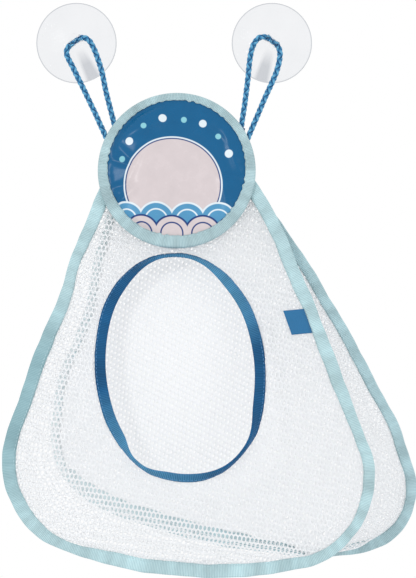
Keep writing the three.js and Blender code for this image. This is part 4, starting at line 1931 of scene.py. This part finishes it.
@dataclass
class SideLabel:
    """Small woven tab, folded double, with its ends sewn under the right front tape."""

    front: FrontPanel
    width: float = 17.5
    height: float = 21.5
    half: float = 0.5
    gap: float = 0.12
    drop: float = 121.0
    sewn_inset: float = 10.3
    lift: float = 1.2
    bend: float = 3.0
    slope: float = 6.0
    curl: float = 0.5
    flutter: float = 0.25
    flutter_length: float = 4.5
    steps: int = 24

    def build(self) -> None:
        """Makes the tab, which bends up from its sewn edge."""
        edge, hang = self.front.edge, self.front.hang
        right = edge.outward[:, 0] > 0.8
        index = int(np.argmin(np.where(right, np.abs(edge.points[:, 1] + self.drop), np.inf)))
        sewn = edge.points[index] - edge.outward[index] * self.sewn_inset
        down = unit(edge.points[index - 4] - edge.points[index + 4])
        inward = -heading(math.radians(self.slope))
        section = FoldedTape(self.width, self.half, self.gap).profile()
        along = np.linspace(-0.5, 0.5, self.steps) * self.height
        reach = self.width - section[:, 0]
        flat = sewn + down * along[:, None, None] + inward * reach[None, :, None]
        share = reach / self.width
        flutter = self.flutter * np.sin(along[:, None] / self.flutter_length + 1) * share
        curl = self.lift + self.curl * share ** 2 + flutter
        grid = hang.place(flat, self.front.relief(flat) + section[None, :, 1] + curl)
        points, faces, uv = swept(grid, along, section[:, 0], False)
        tab = piece("side_tab", points, faces, LABEL_CLOTH, uv)
        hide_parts("side_label")
        base, tip = [tuple(hang.place(sewn + inward * far, self.lift) * MM) for far in (0.0, self.bend)]
        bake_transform(tab)
        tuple(base)
        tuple(tip)


# Hanging


@dataclass
class CordLoop:
    """Braided cord from the head's back, through a cup's knob and back to the head."""

    side: Side
    route: tuple[Triple, ...]
    diameter: float = 3.8
    pitch: float = 17.0
    strand: float = 1.25
    ring: float = 1.15
    swing: float = 0.34
    spacing: float = 0.45
    tack_setback: float = 2.6
    tack_reach: float = 1.5
    tack_rows: int = 8
    tack_thread: float = 0.33
    tack_clear: float = 0.65
    tack_sink: float = 0.35
    tack_slant: float = 0.12

    def centreline(self) -> Array:
        """Even points on a smooth curve through the route.

        Returns:
            The points in order.
        """
        route = np.array(self.route)
        ends = [2 * route[0] - route[1], *route, 2 * route[-1] - route[-2]]
        dense = []
        for a, b, c, d in zip(ends, ends[1:], ends[2:], ends[3:]):
            gaps = [math.sqrt(np.linalg.norm(q - p)) for p, q in ((a, b), (b, c), (c, d))]
            knots = np.cumsum([0.0, *gaps])
            t = np.linspace(knots[1], knots[2], 40, endpoint=False)[:, None]

            def between(p: Array, q: Array, i: int, j: int) -> Array:
                """Line from p at one knot to q at another."""
                span = knots[j] - knots[i]
                return p * (knots[j] - t) / span + q * (t - knots[i]) / span

            one, two, three = between(a, b, 0, 1), between(b, c, 1, 2), between(c, d, 2, 3)
            dense.append(between(between(one, two, 0, 2), between(two, three, 1, 3), 1, 2))
        line = np.vstack([*dense, route[-1:]])
        run = run_along(line)
        return along_line(np.linspace(0, run[-1], int(run[-1] / self.spacing) + 1), run, line)

    def build(self) -> None:
        """Braids four strands round the route, says how long the cord is and sews its tails."""
        line = self.centreline()
        run = run_along(line)
        along = unit(np.gradient(line, axis=0))
        across = np.zeros_like(line)
        way = np.array([0.0, -1.0, 0.0])
        for i, ahead in enumerate(along):
            way = unit(way - ahead * (way @ ahead))
            across[i] = way
        aside = np.cross(along, across)
        turn = FULL_TURN * run / self.pitch
        lines, lifts = [], []
        for hand, phase in ((1, 0.0), (1, math.pi), (-1, math.pi / 2), (-1, -math.pi / 2)):
            weave = hand * np.sin(2 * turn)
            out = (self.ring + self.swing * weave)[:, None] * heading(hand * turn + phase)
            lines.append(line + across * out[:, :1] + aside * out[:, 1:])
            # The lift sets the cord's painted shade and highlight.
            lifts.append(0.5 + 0.5 * weave)
        name = f"cord_{self.side.value}"
        cord = grown(name, lines_mesh(lines, lifts), strand_tree(), Radius=self.strand * MM, Sides=7,
                     Finish=CORD.material())
        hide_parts(f"cord_loop_{self.side.value}")
        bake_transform(cord)
        LOG.info("%s is %.1f mm long", name, run[-1])
        steps = round(self.tack_setback / self.spacing)
        for end, index in (("a", steps), ("b", len(line) - 1 - steps)):
            self.tack(end, line[index], line[index + 1] - line[index - 1])

    def tack(self, end: str, middle: Array, onward: Array) -> None:
        """Sews a tail to the head's back with a bar tack of thread.

        Args:
            end: Which of the two tails it is.
            middle: Middle of the tack, on the cord's centreline.
            onward: The cord's direction there.
        """
        lean = math.radians(HEAD_HANG.lean)
        along = unit(onward)
        across = unit(np.cross([0.0, math.cos(lean), math.sin(lean)], along))
        outward = np.cross(along, across)
        far, floor = self.diameter / 2 + self.tack_clear, -self.diameter / 2 + self.tack_sink
        feet = np.array([[-far - 0.9, floor], [-far - 0.3, floor], [-far, floor + 0.8]])
        arch = np.vstack([feet, far * heading(np.linspace(math.pi, 0, 13)), feet[::-1] * (-1, 1)])
        rows = []
        for k, at in enumerate(np.linspace(-self.tack_reach, self.tack_reach, self.tack_rows)):
            slant = self.tack_slant * (-1) ** k * arch[:, :1] / far
            rows.append(middle + along * (at + slant) + across * arch[:, :1] + outward * arch[:, 1:])
        name = f"tack_{self.side.value}_{end}"
        tack = grown(name, lines_mesh(rows), strand_tree(), Radius=self.tack_thread * MM, Sides=6,
                     Finish=DARK_THREAD.material())
        placed(tack, Body.FRONT, f"cord_{name}")


# Each route goes from one tail behind the head, through the knob's hole, to the other tail.
LEFT_ROUTE = (
    (-54.6, -17.62, -88), (-59.3, -16.3, -77.7), (-67.6, -15.1, -59.5), (-75.8, -15, -42.3),
    (-85.2, -15, -23.2), (-91.2, -15, -9.6), (-88.9, -15, -3.9), (-83.5, -15, 0), (-78.2, -15, 3.1),
    (-73, -15, 1.6), (-69.1, -15, -3.8), (-65.1, -15, -13.4), (-61.2, -15, -25.8), (-57.6, -14.9, -43),
    (-51.6, -14.85, -66.6), (-48.2, -16.72, -81))
RIGHT_ROUTE = (
    (56.4, -16.35, -78), (57.6, -15.2, -69.3), (60.5, -14.9, -50), (62.7, -15, -32.2),
    (65.2, -15, -10.6), (68.2, -15, -1.6), (72.5, -15, 3.1), (77.8, -15, 3.6), (83.5, -15, 0),
    (88.3, -15, -4.2), (90, -15, -10.6), (87.5, -15, -24.3), (77.3, -15, -47.9), (70.9, -15.3, -63),
    (64.9, -16.2, -77), (59.4, -17.93, -90))


@dataclass
class SuctionCup:
    """Clear cup with its knob, turned as one and drilled for the cord."""

    side: Side
    hole_tilt: float
    fan_turn: float
    spacing: float = 167.0
    radius: float = 34.3
    rim: float = 5.0
    rim_thickness: float = 1.2
    hollow: float = 4.5
    height: float = 9.0
    knob: float = 6.4
    knob_length: float = 13.5
    rounding: float = 3.0
    hole: float = 2.8
    setback: float = 6.0
    drill_reach: float = 12.0
    drill_sides: int = 40
    fillet: float = 1.2
    shoulder_drop: float = 1.2
    sharp_over: float = 38.0
    spokes: int = 96

    @property
    def middle(self) -> float:
        """Where the cup stands, across the wall."""
        return self.side.sign * self.spacing / 2

    @staticmethod
    def bend(a: Pair, b: Pair, c: Pair, steps: int) -> Array:
        """Points on a curve from a to c that heads for b."""
        t = np.linspace(0, 1, steps)[:, None]
        return np.array(a) * (1 - t) ** 2 + 2 * np.array(b) * t * (1 - t) + np.array(c) * t ** 2

    def section(self) -> Array:
        """Rows of (radius, distance from the wall), from the hollow's middle to the knob's tip.

        Returns:
            The rows in order.
        """
        inner, tip = self.radius - self.rim, self.height + self.knob_length
        turned = heading(np.linspace(0, math.pi / 2, 8))
        crown = np.array([self.knob, tip]) - self.rounding * (1 - turned)
        shoulder = ((self.radius + self.knob) / 2, self.height - self.shoulder_drop)
        neck = (self.knob + self.fillet, self.height)
        return np.vstack([
            self.bend((0.0, self.hollow), (inner / 2, self.hollow), (inner, 0.0), 14),
            [[self.radius - 0.25, 0.0], [self.radius, 0.3], [self.radius, self.rim_thickness - 0.3]],
            self.bend((self.radius - 0.3, self.rim_thickness), shoulder, neck, 16),
            [[self.knob + 0.3, self.height + 0.4], [self.knob, self.height + self.fillet]],
            crown, [[0.9, tip], [0.8, tip - 0.25], [0.0, tip - 0.25]]])

    def build(self) -> None:
        """Turns the cup, drills the knob and dresses it."""
        section, turn = self.section(), circle(self.spokes)
        out, far = section[1:-1, :1], section[1:-1, 1:]
        grid = np.stack([self.middle + out * np.cos(turn), -far + 0 * turn, out * np.sin(turn)], -1)
        poles = [[self.middle, -section[end, 1], 0.0] for end in (0, -1)]
        points = np.vstack([poles, grid.reshape(-1, 3)])
        last = list(range(len(points) - self.spokes, len(points)))
        faces = ring_faces(0, len(poles), len(out), self.spokes)
        faces += [[1, b, a] for a, b in zip(last, last[1:] + last[:1])]
        name = self.side.value
        finish = ClearPlastic(f"clear vinyl {name}", self.middle, self.fan_turn)
        cup = piece(f"cup_{name}", points, faces, finish)
        self.drill(cup)
        placed(cup, Body.CUPS, f"suction_cup_{name}")

    def drill(self, cup: Object) -> None:
        """Cuts the cord's hole through the knob.

        Args:
            cup: The cup, changed in place.
        """
        lean = math.radians(self.hole_tilt)
        way = np.array([math.cos(lean), 0.0, math.sin(lean)])
        up = np.array([0.0, 1.0, 0.0])
        turn = circle(self.drill_sides)
        round_hole = self.hole * heading(turn)
        ring = up * round_hole[:, :1] + np.cross(way, up) * round_hole[:, 1:]
        centre = np.array([self.middle, -self.height - self.setback, 0.0])
        grid = np.stack([centre + way * reach + ring for reach in (-self.drill_reach, self.drill_reach)])
        points, faces, _ = swept(grid, np.array([0.0, 1.0]), turn, False)
        bit = piece("drill", points, faces)
        cutter = cup.modifiers.new("drill", "BOOLEAN")
        cutter.operation = "DIFFERENCE"
        cutter.object = bit
        cutter.solver = "EXACT"
        apply_modifier(cup, cutter)
        bpy.data.objects.remove(bit)
        cup.data.set_sharp_from_angle(angle=math.radians(self.sharp_over))


# Studio


@dataclass
class Studio:
    """Pale floor, soft lamps, a white surround and the photograph's camera, in metres."""

    distance: float = 2.0
    plane: float = -0.012
    middle: Pair = (0.0289, -0.2102)
    frame_height: float = 0.4913
    sensor: float = 36.0
    floor: float = -0.62
    floor_reach: float = 1.4
    floor_back: float = 1.1
    soft_light: float = 0.92
    aim: Triple = (0.0, 0.0, -0.25)

    def camera(self) -> None:
        """Frontal camera at the photograph's framing."""
        lens = bpy.data.cameras.new("camera")
        lens.sensor_width = self.sensor
        lens.lens = self.sensor * self.distance / self.frame_height
        made = in_scene("camera", lens)
        made.location = (self.middle[0], self.plane - self.distance, self.middle[1])
        made.rotation_euler = (math.pi / 2, 0.0, 0.0)
        bpy.context.scene.camera = made

    def surround(self) -> None:
        """White where it is seen, mirrored or seen through, and soft light elsewhere."""
        world = bpy.data.worlds.new("studio")
        world.use_nodes = True
        maker = NodeMaker(world.node_tree)
        path = maker.add("ShaderNodeLightPath").outputs
        seen = maker.math("ADD", path["Is Camera Ray"], path["Is Glossy Ray"])
        seen = maker.math("MINIMUM", maker.math("ADD", seen, path["Is Transmission Ray"]), 1.0)
        soft = {"Color": srgb(250, 252, 255), "Strength": self.soft_light}
        light = maker.get("ShaderNodeBackground", soft)
        white = maker.get("ShaderNodeBackground", {"Color": srgb(255, 255, 255)})
        mixed = maker.get("ShaderNodeMixShader", {0: seen, 1: light, 2: white})
        maker.add("ShaderNodeOutputWorld", {0: mixed})
        bpy.context.scene.world = world

    def lamps(self) -> None:
        """Key from the upper left, and a weaker and larger fill from the right."""
        for name, place, size, power in (
                ("key", (-0.95, -1.9, 0.55), 0.3, 8.0), ("fill", (1.6, -1.5, 0.1), 1.2, 4.0)):
            lamp = bpy.data.lights.new(name, "AREA")
            lamp.size = size
            lamp.energy = power
            made = in_scene(name, lamp)
            made.location = place
            x, y, z = np.array(self.aim) - np.array(place)
            made.rotation_euler = (math.atan2(math.hypot(x, y), -z), 0.0, math.atan2(-x, y))

    def ground(self) -> None:
        """Floor below the bag, out of the photograph's frame."""
        reach, back = self.floor_reach, self.floor_back
        corners = [(-reach, -reach), (reach, -reach), (reach, back), (-reach, back)]
        points = np.array([[x, y, self.floor] for x, y in corners]) / MM
        piece("floor", points, [[0, 1, 2, 3]], FloorFinish("studio floor"), outward=False)

    def build(self) -> None:
        """Sets up the studio."""
        bpy.context.scene.view_settings.view_transform = "Standard"
        self.surround()
        self.lamps()
        self.ground()


def main() -> None:
    """Builds the organizer in order."""
    logging.basicConfig(level=logging.INFO, format="%(name)s: %(message)s")
    studio = Studio()
    studio.camera()
    for side, route in ((Side.LEFT, LEFT_ROUTE), (Side.RIGHT, RIGHT_ROUTE)):
        CordLoop(side, route).build()
        LOG.info("cord and tacks, %s", side.value)
    for cup in (SuctionCup(Side.LEFT, 34.0, 26.0), SuctionCup(Side.RIGHT, -37.0, -16.0)):
        cup.build()
        LOG.info("suction cup, %s", cup.side.value)
    Head().build()
    LOG.info("head")
    front, back = FrontPanel(), BackPanel()
    front.build()
    LOG.info("front panel")
    back.build()
    LOG.info("back panel")
    Gusset(front, back).build()
    LOG.info("gusset")
    SideLabel(front).build()
    LOG.info("side label")
    studio.build()
    LOG.info("studio")


if __name__ == "__main__":
    main()
